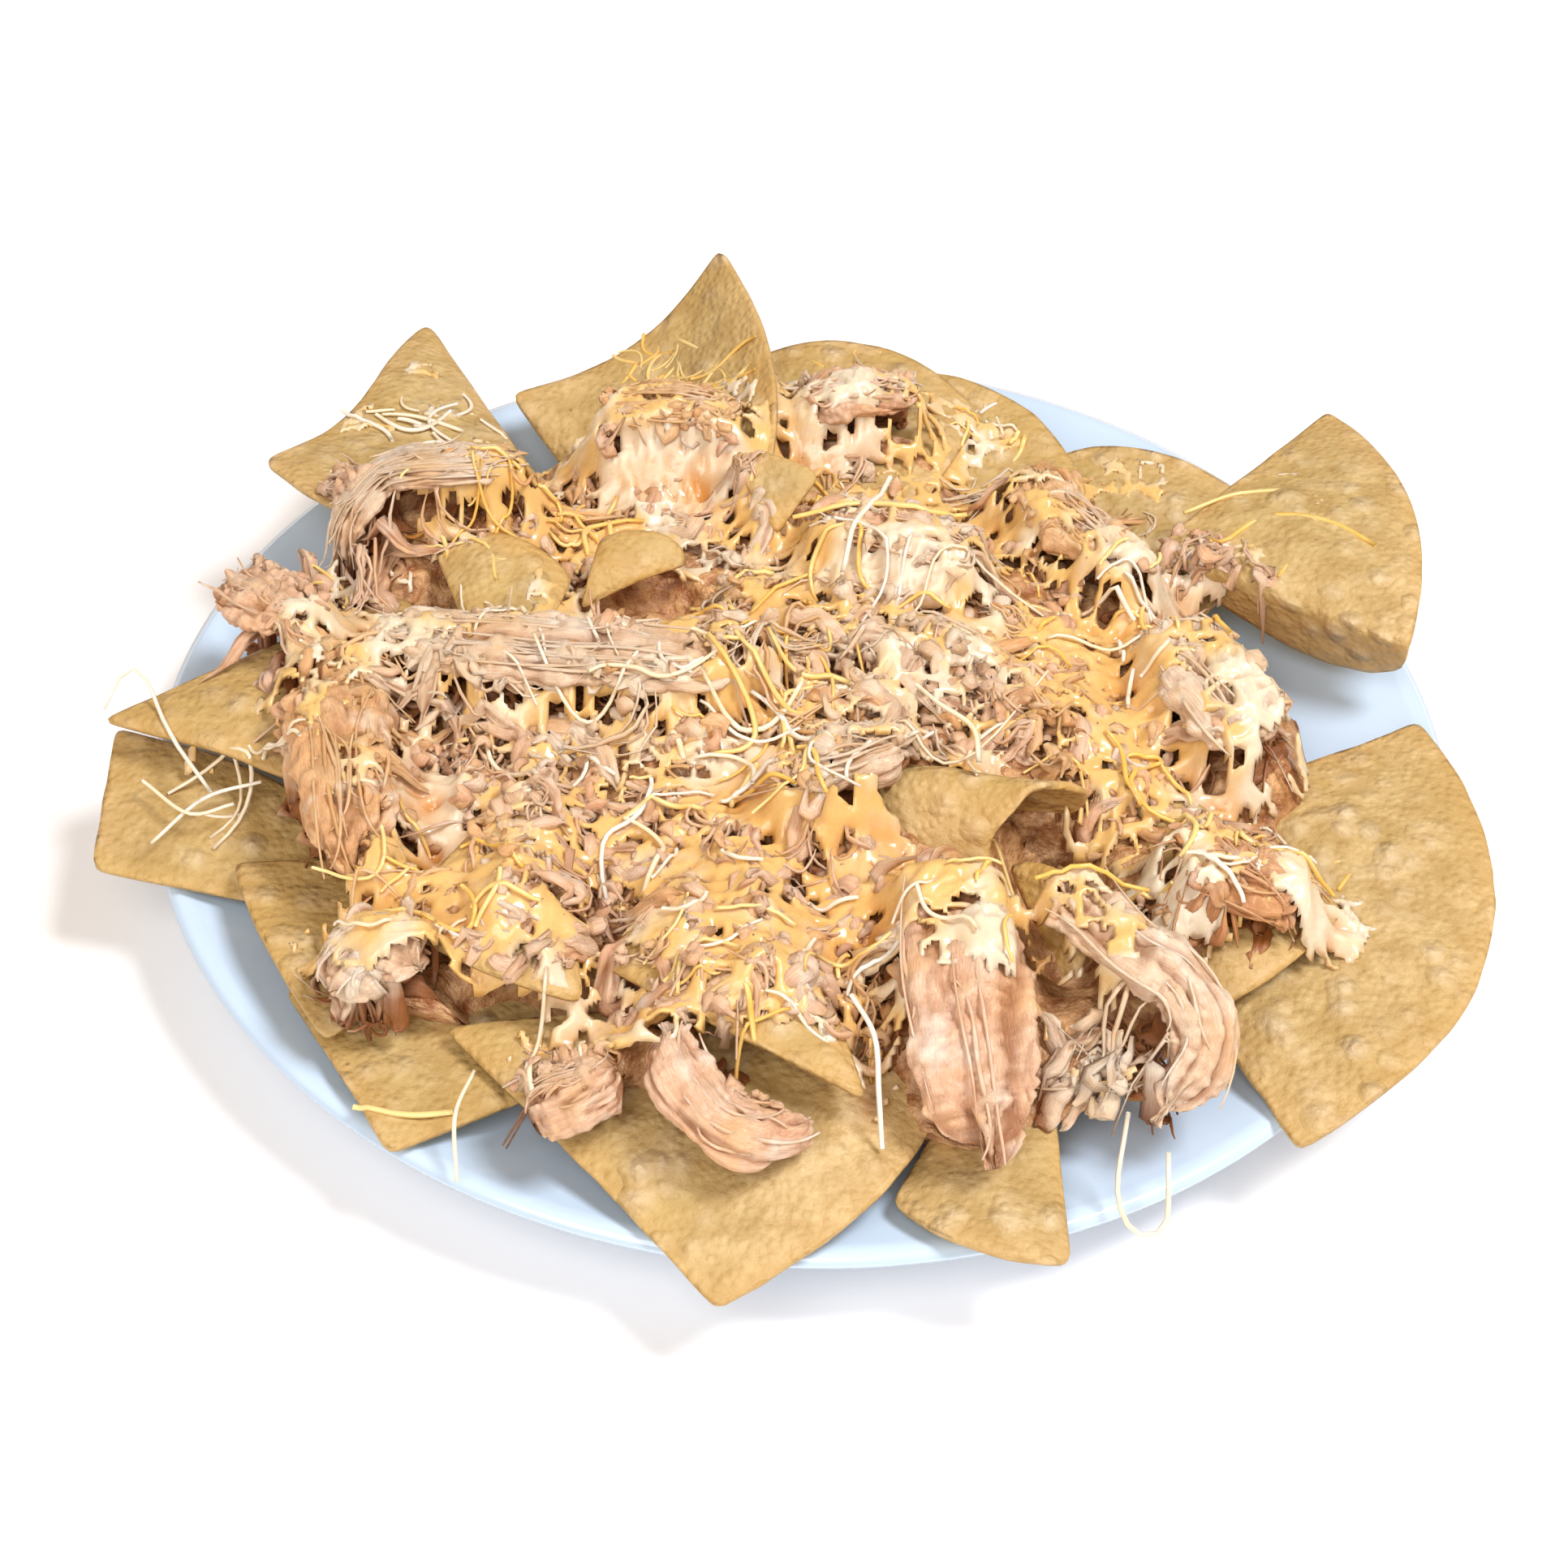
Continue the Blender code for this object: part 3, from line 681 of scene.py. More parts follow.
def chip_outline(flat_corners, bulge, side_bows, fold, soft):
    """The chip's closed outline in its own flat plane: three sides with sine bows, evenly divided and
    then smoothed so that its corners are rounded. The left side may carry a flap to be folded down."""
    a, b, c = flat_corners
    centre = (a + b + c) / 3
    t = np.linspace(0, 1, 60, endpoint=False)[:, None]

    def side(p, q, bow, swing):
        line = p + (q - p) * t
        away = np.array([(q - p)[1], -(q - p)[0]]) / np.linalg.norm(q - p)
        if np.dot(away, centre - p) > 0:
            away = -away
        return line + away * (bow * 4 * t * (1 - t) + swing * np.sin(tau * t))

    first = side(a, b, *side_bows[0])
    if fold:
        across = unit(np.array([(b - a)[1], -(b - a)[0]]))
        away = (first - (a + (b - a) * t)) + across
        sign = -1 if np.dot(away[30], centre - a) > 0 else 1
        first = first + sign * across * fold * 3 * t * (1.15 - t) * 0.9
    outer = b + (c - b) * t + np.array([1.0, 0.0]) * bulge * 4 * t * (1 - t)
    last = side(c, a, *side_bows[1])
    ring = np.concatenate([first, outer, last, first[:1]])
    gone = np.concatenate([[0], np.cumsum(np.linalg.norm(np.diff(ring, axis=0), axis=1))])
    even = np.linspace(0, gone[-1], OUTLINE_POINTS, endpoint=False)
    loop = np.stack([np.interp(even, gone, ring[:, k]) for k in range(2)], axis=1)
    reach = soft / (gone[-1] / OUTLINE_POINTS)
    near = range(-30, 31)
    weights = np.exp(-0.5 * (np.array(near) / max(reach * 0.6, 0.5)) ** 2)
    weights /= weights.sum()
    return sum(w * np.roll(loop, k, axis=0) for k, w in zip(near, weights))


def chip_plane(row):
    """The chip's own plane: its point, its size, the plane's two directions, its normal, and the left
    and right corners in that plane."""
    apex, left, right = (np.array(corner, float) for corner in row[:3])
    middle = (left + right) / 2
    size = np.linalg.norm(middle - apex)
    forward = (middle - apex) / size
    normal = np.cross(left - apex, right - apex)
    normal *= np.sign(normal[2]) / np.linalg.norm(normal)
    basis = np.array([forward, np.cross(normal, forward)])
    return apex, size, basis, normal, basis @ (left - apex), basis @ (right - apex)


def bent_chip(flat, row):
    """Places flat points in space: a half wave bows the sheet up across, another along, a slow
    unevenness warps it, and what lies past the folded side turns down about that side."""
    bulge, across_bow, along_bow, fold, _, _ = row[3:]
    apex, size, basis, normal, b, c = chip_plane(row)
    shares = flat @ np.linalg.inv(np.array([b, c]))
    total = np.maximum(shares.sum(axis=-1), 1e-3)
    v = np.clip(shares[..., 1] / total, -0.2, 1.2)
    u = np.clip(total / (1 + bulge / size * 4 * v * (1 - v)), 0, 1.1)
    lift = across_bow * 4 * v * (1 - v) * u + along_bow * 4 * u * (1 - u)
    space = apex + flat @ basis + normal * lift[..., None]
    if fold:
        away = np.array([b[1], -b[0]]) / np.linalg.norm(b)
        if np.dot(away, c) > 0:
            away = -away
        past = np.maximum(flat @ away, 0)
        turned = past[..., None] * (-(away @ basis) + np.array([0, 0, -1.0]) - 0.3 * (away @ basis))
        space = space + turned
    warp = noise(space, 26, seed=WARP_SEED) * 1.1 + noise(space, 11, seed=3) * 0.4
    return space + normal * warp[..., None]


def chip(name, row, finish):
    """One chip: rings of points from its middle out to its outline, bent, with a lower copy under it.
    Low blisters lift the upper face and the rim thins."""
    bulge, _, _, fold, soft, soak = row[3:]
    normal, left, right = chip_plane(row)[3:]
    corners = (np.zeros(2), left, right)
    outline = chip_outline(corners, bulge, SIDE_BOWS.get(name, STRAIGHT), fold, soft)
    perimeter = np.linalg.norm(np.diff(outline, axis=0), axis=1).sum()
    turns = int(np.clip(perimeter / CHIP_EDGE_STEP, 60, 170))
    rings = int(np.clip(turns / 5, 14, 34))
    outline = outline[np.linspace(0, len(outline), turns, endpoint=False).astype(int)]
    centre = outline.mean(axis=0)
    share = np.linspace(0, 1, rings + 1)[1:] ** 0.9
    ragged = 1 + 0.006 * noise(np.column_stack([outline, np.zeros(turns)]), 5, seed=2)
    flat = centre + (outline - centre)[None] * (share[:, None] * ragged[None] ** share[:, None])[..., None]
    flat = np.concatenate([np.broadcast_to(centre, (1, turns, 2)), flat])
    space = bent_chip(flat, row)
    along = np.gradient(space, axis=0)
    round_it = (np.roll(space, -1, axis=1) - np.roll(space, 1, axis=1)) / 2
    normals = unit(np.cross(along, round_it))
    normals[0] = unit(normals[1].mean(axis=0))
    way = -1 if np.sum(normals * normal) < 0 else 1
    normals = way * normals
    rim = np.concatenate([[0], share]) ** 8
    blister = np.maximum(noise(space, 6.5, seed=8) - 0.15, 0)
    blister = blister + np.maximum(noise(space, 3.2, seed=9), 0) * 0.3
    half = (CHIP_THICKNESS / 2) * (1 - 0.45 * rim)[:, None]
    upper = space + normals * (half + blister * (1 - rim)[:, None])[..., None]
    dent = 0.5 * np.roll(blister, 7, axis=1) * (1 - rim)[:, None]
    lower = space - normals * (half + dent)[..., None]
    rows = rings + 1
    block = rows * turns
    top = wrapped_quads(rows, turns)[:, ::way]
    under = top[:, ::-1] + block
    j = np.arange(turns)
    k = (j + 1) % turns
    edge = rings * turns
    strip = np.stack([edge + j, edge + block + j, edge + block + k, edge + k], axis=1)[:, ::way]
    points = np.concatenate([upper.reshape(-1, 3), lower.reshape(-1, 3)])
    spread = np.clip(0.5 + 0.9 * noise(points, 24, seed=4) + 0.4 * noise(points, 9, seed=5), 0, 1)
    deepness = 1 - np.clip((np.hypot(points[:, 0], points[:, 1]) - 70) / 40, 0, 1)
    soaked = np.clip(soak * spread * (0.6 + 0.9 * deepness), 0, 1)
    rim_value = np.tile(np.repeat(rim**0.6, turns), 2)
    burnt = np.zeros(len(points))
    if name == BURNT_CHIP:
        away = np.linalg.norm((points - BURNT_SPOT) / BURNT_REACH, axis=1)
        burnt = np.clip(1.4 - away, 0, 0.9)
    looks = {"soak": soaked, "rim": rim_value, "burnt": burnt}
    made = piece(name + "_fried", points, [top, under, strip], finish, looks)
    weld(made)
    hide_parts(name)


def weld(made):
    """Merges points that coincide, such as the middle of a disc of rings."""
    body = bmesh.new()
    body.from_mesh(made.data)
    bmesh.ops.remove_doubles(body, verts=body.verts, dist=0.02 * MM)
    body.to_mesh(made.data)
    body.free()


# The rolled chip: points round its open rim, and the way from there to its closed end.
ROLL_RIM = [
    (40, -60, 25),
    (37, -52, 32),
    (33.5, -48, 38),
    (36, -44, 43.5),
    (42, -40, 46.5),
    (48, -37, 45),
    (51, -35, 40),
    (49, -33, 34),
]
ROLL_RUN = (-29, 8, -2)


def rolled_chip(finish):
    """The rolled chip: its open rim carried to a narrower closed end, with a lip that flares a little."""
    rim = smooth_path(ROLL_RIM, 60)
    share = np.linspace(0, 1, 40)[:, None, None]
    middle = rim.mean(axis=0)
    smaller = 1 - 0.2 * share + 0.05 * np.exp(-12 * share)
    space = middle + (rim[None] - middle) * smaller + np.array(ROLL_RUN) * share
    ragged = 1.2 * noise(rim, 6, seed=21)
    space = space - unit(np.array(ROLL_RUN, float)) * (ragged[None, :, None] * np.exp(-9 * share))
    normals = unit(np.cross(np.gradient(space, axis=0), np.gradient(space, axis=1)))
    way = -1 if normals[5, 30, 2] < 0 else 1
    normals = way * normals
    warp = 0.8 * noise(space, 12, seed=22) + 0.35 * noise(space, 5, seed=23)
    space = space + normals * warp[..., None]
    half = np.full(space.shape[:2], CHIP_THICKNESS / 2)
    half[[0, -1]] *= 0.5
    half[:, [0, -1]] *= 0.5
    upper, lower = space + normals * half[..., None], space - normals * half[..., None]
    rows, columns = half.shape
    i, j = np.meshgrid(np.arange(rows - 1), np.arange(columns - 1), indexing="ij")
    first = i * columns + j
    top = np.stack([first, first + columns, first + columns + 1, first + 1], axis=-1).reshape(-1, 4)
    edge = np.concatenate(
        [
            np.arange(rows) * columns,
            (rows - 1) * columns + np.arange(1, columns),
            np.arange(rows - 2, -1, -1) * columns + columns - 1,
            np.arange(columns - 2, 0, -1),
        ]
    )
    onward = np.roll(edge, -1)
    block = rows * columns
    strip = np.stack([onward, edge, edge + block, onward + block], axis=1)
    groups = [faces[:, ::way] for faces in (top, top[:, ::-1] + block, strip)]
    points = np.concatenate([upper.reshape(-1, 3), lower.reshape(-1, 3)])
    inside = np.repeat([0.25, 0.6], block)
    rim_value = np.tile((np.exp(-10 * share[..., 0]) + np.zeros((rows, columns))).reshape(-1), 2)
    soaked = np.clip(inside * (1 + 0.6 * noise(points, 14, seed=24)), 0, 1)
    looks = {"soak": soaked, "rim": rim_value, "burnt": np.zeros(len(points))}
    made = piece("chip_middle_rolled_fried", points, groups, finish, looks)
    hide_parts("chip_middle_rolled")


# ---------------------------------------------------------------- height map


def tree_of(frame, names):
    """A ray-casting tree of these CAD nodes' meshes."""
    points, faces = [], []
    for name in names:
        mesh = frame["nodes"][name].data
        offset = len(points)
        points += [v.co[:] for v in mesh.vertices]
        faces += [tuple(offset + k for k in p.vertices) for p in mesh.polygons]
    return BVHTree.FromPolygons(points, faces)


def tops(tree, x, y):
    """Height of the tree's surface as seen from above at each place, and nothing where it is missed."""
    found = np.zeros(x.size)
    for n, (a, b) in enumerate(zip(x.ravel(), y.ravel())):
        hit = tree.ray_cast(Vector((a * MM, b * MM, 1.0)), Vector((0, 0, -1)))[0]
        if hit is not None:
            found[n] = hit.z / MM
    return found.reshape(x.shape)


# Hollows in the heap: middle, half sizes and depth, at the level of the heap's top.
HOLLOWS = [
    (46, -50, 9, 12, 15),
    (48, -70, 9, 10, 9),
    (-8, -92, 9, 6, 8),
    (-46, -84, 13, 5, 8),
    (-27, 20, 9, 5, 6),
]


class Ground:
    """Heights on a grid of one millimetre, which rise as things are laid down."""

    def __init__(self, frame):
        line = np.arange(-MAP_REACH, MAP_REACH + 1.0)
        x, y = np.meshgrid(line, line)
        heap = tops(tree_of(frame, ["heap"]), x, y)
        chips = tops(tree_of(frame, [n for n in frame["nodes"] if n.startswith("chip_")]), x, y)
        dish = tops(tree_of(frame, ["plate"]), x, y)
        self.heap = heap
        self.full = np.maximum(np.maximum(heap, chips), dish)
        self.core = heap - CORE_DROP
        for a, b, reach_a, reach_b, depth in HOLLOWS:
            away = self.away(x, y, a, b, reach_a, reach_b)
            self.core = self.core - depth * np.exp(-(away**1.5))
        sunk = np.where(heap > 1, self.core, 0)
        self.top = np.maximum(np.maximum(sunk, chips), dish)

    def cell(self, x, y):
        """Where a place lies on the grid, kept inside it."""
        last = 2 * MAP_REACH - 0.001
        return np.clip(x + MAP_REACH, 0, last), np.clip(y + MAP_REACH, 0, last)

    def at(self, x, y, grid=None):
        """Height at any place, blended between the four nearest grid points."""
        grid = self.top if grid is None else grid
        a, b = self.cell(x, y)
        i, j = b.astype(int), a.astype(int)
        f, g = b - i, a - j
        return (
            grid[i, j] * (1 - f) * (1 - g)
            + grid[i + 1, j] * f * (1 - g)
            + grid[i, j + 1] * (1 - f) * g
            + grid[i + 1, j + 1] * f * g
        )

    def add(self, points, radius):
        """Raises the grid to the tops of round lumps at these points."""
        points, radius = points.reshape(-1, 3), np.broadcast_to(radius, points.shape[:-1]).reshape(-1)
        reach = int(np.ceil(radius.max()))
        a, b = self.cell(points[:, 0], points[:, 1])
        j, i = np.rint(a).astype(int), np.rint(b).astype(int)
        for di in range(-reach, reach + 1):
            for dj in range(-reach, reach + 1):
                ii, jj = np.clip(i + di, 0, 2 * MAP_REACH), np.clip(j + dj, 0, 2 * MAP_REACH)
                away = (ii - b) ** 2 + (jj - a) ** 2
                ok = away < radius**2
                z = points[:, 2] + np.sqrt(np.maximum(radius**2 - away, 0))
                np.maximum.at(self.top, (ii[ok], jj[ok]), z[ok])

    def seen(self, x, y):
        """Slides places that are given at the level of the heap's top back down a slope of 45 degrees
        until they meet the surface."""
        y = np.asarray(y, float) + 0 * np.asarray(x, float)
        x = np.asarray(x, float) + 0 * y
        level = np.full(x.shape, HEAP_LEVEL + SIGHT_RISE)
        start = y - (level - HEAP_LEVEL)
        for _ in range(SIGHT_STEPS):
            high = level > self.at(x, start + (HEAP_LEVEL + SIGHT_RISE - level), self.full)
            level = np.where(high, level - SIGHT_STEP, level)
        return x, start + (HEAP_LEVEL + SIGHT_RISE - level)

    def away(self, x, y, a, b, reach_a, reach_b):
        """Squared distance of places from an ellipse's middle in its half sizes, from 1 outwards when
        past its edge. The middle is given at the level of the heap's top."""
        middle_x, middle_y = self.seen(a, b)
        return ((x - middle_x) / reach_a) ** 2 + ((y - middle_y) / reach_b) ** 2


def rest(ground, x, y, radius, sag=0.12, passes=14, sink=0.35):
    """Heights of strands laid on the ground: each point lies on what is below it, or hangs a little
    below the line between its neighbours where there is a hollow."""
    floor = ground.at(x, y) + radius * (1 - 2 * sink)
    z = floor.copy()
    for _ in range(passes):
        z[:, 1:-1] = np.maximum(floor[:, 1:-1], (z[:, :-2] + z[:, 2:]) / 2 - sag)
        z[:, 0] = np.maximum(floor[:, 0], 2 * z[:, 1] - z[:, 2] - 0.6)
        z[:, -1] = np.maximum(floor[:, -1], 2 * z[:, -2] - z[:, -3] - 0.6)
    return z


def core(ground, finish):
    """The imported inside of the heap: rings of points out to the heap's outline at the sunken height,
    with crumbs as relief, and a skirt down to the plate."""
    turns, rings = CORE_TURNS, CORE_RINGS
    angle = np.arange(turns) * tau / turns
    radii = np.arange(30, 130, 1.0)
    heights = ground.at(radii[:, None] * np.cos(angle), radii[:, None] * np.sin(angle), ground.heap)
    outline = radii[0] + (heights > HEAP_EDGE).sum(axis=0)
    outline = np.convolve(np.tile(outline, 3), np.ones(9) / 9, mode="same")[turns : 2 * turns] - 4
    share = np.linspace(0.005, 1, rings)[:, None]
    x, y = share * outline * np.cos(angle), share * outline * np.sin(angle)
    z = ground.at(x, y, np.maximum(ground.core, HEAP_EDGE - CORE_DROP))
    spots = np.stack([x, y, z], axis=-1)
    crumbs = 1.4 * noise(spots, 5, seed=31) + 1.7 * np.abs(noise(spots, 2.8, seed=32)) - 1.1
    crumbs = crumbs + 0.5 * np.abs(noise(spots, 1.3, seed=33))
    z = z + crumbs
    z = np.minimum(z, ground.at(x, y, ground.full) - 1.2)
    z = np.maximum(z, FLOOR_TOP + 3)
    under_share = np.array([0.93, 0.8, 0.01])[:, None]
    under_x, under_y = under_share * outline * np.cos(angle), under_share * outline * np.sin(angle)
    reach = np.hypot(under_x, under_y)
    under_z = np.maximum(FLOOR_TOP + 1.6, 0.28 * (reach - FOOT_RADIUS) + FLOOR_TOP + 1.6)
    points = np.stack([np.vstack(pair) for pair in ((x, under_x), (y, under_y), (z, under_z))], axis=-1)
    made = piece("heap_core", points, lathe_faces(rings + 3, turns), finish)
    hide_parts("heap")


# ---------------------------------------------------------------- toppings

# Chicken: tone, middle, half size along x and y, the way the fibres run in degrees, how far they stray
# from it, how many bundles, their length and width. Places are given at the level of the heap's top.
MEAT = [
    ("pink", -8, -10, 98, 72, 10, 80, 150, 20, 5),
    ("tan", 4, -30, 80, 60, 60, 80, 90, 20, 5),
    ("pale", 10, 6, 84, 56, -10, 80, 50, 20, 5),
    ("pink", -46, -74, 12, 12, -20, 60, 24, 16, 5),
    ("pink", 0, -84, 16, 12, -40, 60, 24, 16, 5),
    ("pink", -91, 28, 8, 24, 97, 12, 24, 32, 6),
    ("pink", -105, 3, 8, 10, 70, 40, 16, 18, 5),
    ("tan", -86, -32, 8, 29, 103, 14, 40, 28, 6),
    ("pale", -55, -5, 24, 9, -8, 14, 30, 32, 5),
    ("pale", -50, -20, 29, 9, -16, 28, 40, 26, 4),
    ("pink", -54, -38, 18, 13, -20, 60, 34, 18, 4),
    ("tan", -62, -62, 16, 14, 30, 70, 24, 16, 4),
    ("pale", -73, -90, 9, 13, 60, 50, 26, 18, 5),
    ("pale", 0, 5, 29, 20, 8, 60, 56, 22, 4),
    ("pink", 34, -12, 12, 12, -30, 60, 24, 20, 4),
    ("tan", -30, 66, 15, 9, 10, 50, 26, 18, 4),
    ("pale", 8, 80, 13, 9, 0, 50, 22, 18, 4),
    ("pale", 17, 28, 19, 19, 30, 60, 50, 20, 4),
    ("tan", 52, 42, 11, 15, 105, 35, 34, 20, 4),
    ("pink", 74, 30, 18, 10, 20, 60, 26, 20, 4),
    ("pale", 79, -8, 12, 21, 80, 22, 34, 26, 6),
    ("brown", 78, -56, 14, 14, 40, 60, 48, 18, 4),
    ("tan", 56, -20, 15, 17, 0, 80, 34, 18, 4),
    ("pale", 8, -32, 12, 6, 15, 14, 14, 24, 6),
    ("pink", -12, -60, 28, 24, -50, 60, 70, 20, 4),
    ("tan", 16, -88, 6, 12, 110, 16, 14, 20, 6),
    ("pink", -20, -88, 16, 7, -20, 40, 22, 18, 4),
    ("pink", -8, -106, 13, 12, -40, 40, 16, 20, 3),
    ("pink", -38, -112, 8, 8, 80, 60, 20, 14, 4),
    ("pale", 55, -100, 12, 12, 20, 35, 24, 24, 5),
    ("tan", -58, 38, 20, 11, 20, 70, 30, 16, 3),
    ("pink", -22, 46, 16, 13, 0, 80, 30, 16, 3),
]

# Places where a chip shows between the toppings: middle and half sizes, at the level of the heap's top.
BARE = [
    (-66, 17, 11, 8),
    (-33, 22, 8, 8),
    (30, -38, 15, 8),
    (40, -52, 9, 14),
    (-5, 50, 6, 5),
    (0, -104, 5, 5),
    (-58, -93, 10, 3),
]


def spots_in(row_x, row_y, reach_x, reach_y, count):
    """Random places in an ellipse, denser in its middle."""
    turn = random.uniform(0, tau, count)
    share = np.sqrt(random.uniform(0, 1, count)) ** 1.15
    return row_x + reach_x * share * np.cos(turn), row_y + reach_y * share * np.sin(turn)


def clear_of_bare(ground, x, y):
    """True for each strand that keeps off the places where a chip shows."""
    good = np.ones(len(x), dtype=bool)
    for a, b, reach_a, reach_b in BARE:
        good &= (ground.away(x, y, a, b, reach_a, reach_b) >= 1).all(axis=1)
    return good


def bundle_paths(x, y, direction, length, width, bend, fibres, rings):
    """Strands of many bundles, in plan: each bundle is a curve through its middle, its strands lie side
    by side, closer at the ends, start and stop unevenly, and wander a little."""
    count = len(x)
    t = np.linspace(-0.5, 0.5, rings)[None, None]
    beside = np.linspace(-0.5, 0.5, fibres)[None, :, None] + random.normal(0, 0.12, (count, fibres, 1))
    reach = length[:, None, None] * random.uniform(0.55, 1.15, (count, fibres, 1))
    shift = length[:, None, None] * random.normal(0, 0.12, (count, fibres, 1))
    s = t * reach + shift
    fray = random.normal(0, 0.25, (count, fibres, 1)) * np.abs(2 * t) ** 3
    phase = random.uniform(0, tau, (count, fibres, 1))
    wander = 0.6 * np.sin(s * 0.5 + phase) + 0.35 * np.sin(s * 1.2 + 2 * phase)
    aside = width[:, None, None] * (beside * (1 - 0.35 * (2 * t) ** 2) + fray) + wander
    aside = aside + bend[:, None, None] * s**2 / np.maximum(length[:, None, None], 1)
    c, d = np.cos(direction)[:, None, None], np.sin(direction)[:, None, None]
    px = x[:, None, None] + c * s - d * aside
    py = y[:, None, None] + d * s + c * aside
    crown = (1 - (2 * beside) ** 2) * width[:, None, None] * 0.15 + 0 * t
    return [v.reshape(count * fibres, rings) for v in (px, py, crown)]


def tapered(count, rings, thick, uneven=0.25, ends=0.25):
    """Half widths of torn strands: fullest in the middle, drawn out towards both ends."""
    t = np.linspace(0, 1, rings)
    body = (ends + (1 - ends) * np.sin(pi * np.clip(t, 0.03, 0.97)) ** 0.6)[None]
    own = thick * random.uniform(1 - uneven, 1 + 1.5 * uneven, (count, 1))
    return own * body * random.uniform(0.82, 1.18, (count, rings))


# Forms of torn chicken: strands in a bundle, rings and sides of a strand, its half width, flatness,
# ridges, raggedness, how it rolls, its length as a share of the bundle's, how it bends, and how many
# bundles for each one in the zone's row.
FORMS = {
    "fibre": dict(
        fibres=4, rings=9, sides=5, thick=0.36, flat=0.8, ridge=0.1, ragged=0.25, roll=0.3,
        long=0.5, bend=1.6, per=0.35,
    ),
    "crumb": dict(
        fibres=3, rings=6, sides=7, thick=1.25, flat=0.45, ridge=0.25, ragged=0.8, roll=0.9,
        long=0.19, bend=1.8, per=0.8,
    ),
}

# Chicken is laid in this many passes.
PASSES = 4

# Torn pieces: how many for each bundle, rings and sides of one, how wide its straps are and how far its
# ends crumble.
TORN_PER_BUNDLE = 0.72
TORN_RINGS = 18
TORN_SIDES = 20
TORN_STRAP = 1.9
TORN_ENDS = 1.3


def torn_pieces(ground, row, share, proud):
    """Torn pieces as long as a finger is wide, laid over the ground in a zone, each with its own crook."""
    _, x, y, reach_x, reach_y, run, stray, _, length, width = row
    a, b = ground.seen(*spots_in(x, y, reach_x, reach_y, share))
    long = 0.62 * length * random.uniform(0.55, 1.3, share)
    way = radians(run) + random.normal(0, radians(stray), share)
    px, py, _ = bundle_paths(a, b, way, long, 0 * long, random.normal(0, 1.6, share), 1, TORN_RINGS)
    half_width = 0.42 * width * random.uniform(0.7, 1.3, share)
    half_height = half_width * random.uniform(0.45, 0.75, share)
    keep = clear_of_bare(ground, px, py)
    px, py, half_width, half_height = (v[keep] for v in (px, py, half_width, half_height))
    z = rest(ground, px, py, half_height[:, None], sag=0.1, passes=10, sink=0.45) if len(px) else px
    keep = held_up(px, py, z)
    px, py, z, half_width, half_height = (v[keep] for v in (px, py, z, half_width, half_height))
    if not len(px):
        return None
    z = np.minimum(z, ground.at(px, py, ground.full) + proud - half_height[:, None])
    paths = np.stack([px, py, z], axis=-1)
    ground.add(paths, half_height[:, None] * 0.9)
    seed = int(random.integers(1000))
    return torn_meat(paths, half_width, half_height, TORN_STRAP, TORN_ENDS, TORN_SIDES, seed)


def small_strands(ground, row, form, share, turn, proud):
    """Fibres or crumbs laid in a zone in small bundles, each arched a little and curled at its ends."""
    _, x, y, reach_x, reach_y, run, stray, _, length, width = row
    a, b = ground.seen(*spots_in(x, y, reach_x, reach_y, share))
    px, py, crown = bundle_paths(
        a,
        b,
        radians(run) + random.normal(0, radians(stray), share),
        length * form["long"] * random.uniform(0.5, 1.35, share),
        width * random.uniform(0.6, 1.4, share),
        random.normal(0, form["bend"], share),
        form["fibres"],
        form["rings"],
    )
    keep = clear_of_bare(ground, px, py)
    px, py, crown = px[keep], py[keep], crown[keep]
    if not len(px):
        return None
    radii = tapered(len(px), form["rings"], form["thick"])
    z = rest(ground, px, py, radii * form["flat"], sag=0.08) + crown + random.normal(0, 0.3, (len(px), 1))
    held = held_up(px, py, z)
    if not held.any():
        return None
    px, py, z, radii = px[held], py[held], z[held], radii[held]
    t = np.linspace(-1, 1, form["rings"])
    arch = random.normal(0.2, 0.8, (len(px), 1)) * (1 - t**2)
    curl = random.exponential(0.5, (len(px), 1)) * t**6
    z = np.minimum(z + arch + curl, ground.at(px, py, ground.full) + proud)
    paths = np.stack([px, py, z], axis=-1)
    made = strands(
        paths,
        radii,
        form["sides"],
        flat=form["flat"] * random.uniform(0.7, 1.4, len(px)),
        ridge=form["ridge"],
        ragged=form["ragged"],
        roll=random.normal(0, form["roll"], len(px)),
        twist=random.normal(0, 0.7, len(px)),
        seed=turn,
    )
    ground.add(paths, radii * form["flat"] + 0.2)
    return made


def held_up(x, y, z, steepest=1.1):
    """True for each strand that lies on the heap rather than hanging down its side."""
    if not len(x):
        return np.zeros(0, dtype=bool)
    fall = np.abs(np.diff(z, axis=1)) / np.hypot(np.diff(x, axis=1), np.diff(y, axis=1))
    gentle = (np.percentile(fall, 90, axis=1) < steepest + 0.9) & (fall.mean(axis=1) < steepest)
    return gentle & (z.min(axis=1) > PLATE_HEIGHT + 4)


def strew_meat(ground, laid, turns, proud=3.5):
    """Loose chicken laid down in some of the passes, each on top of the ones before, into two lists for
    each tone: fine strands and torn pieces."""
    for turn in turns:
        for row in MEAT:
            tone, count = row[0], row[7]
            fine, large = laid.setdefault(tone, ([], []))
            large.append(torn_pieces(ground, row, max(1, round(count * TORN_PER_BUNDLE / PASSES)), proud))
            for form in FORMS.values():
                total = count * form["per"]
                share = round(total * (turn + 1) / PASSES) - round(total * turn / PASSES)
                if share:
                    fine.append(small_strands(ground, row, form, share, turn, proud))


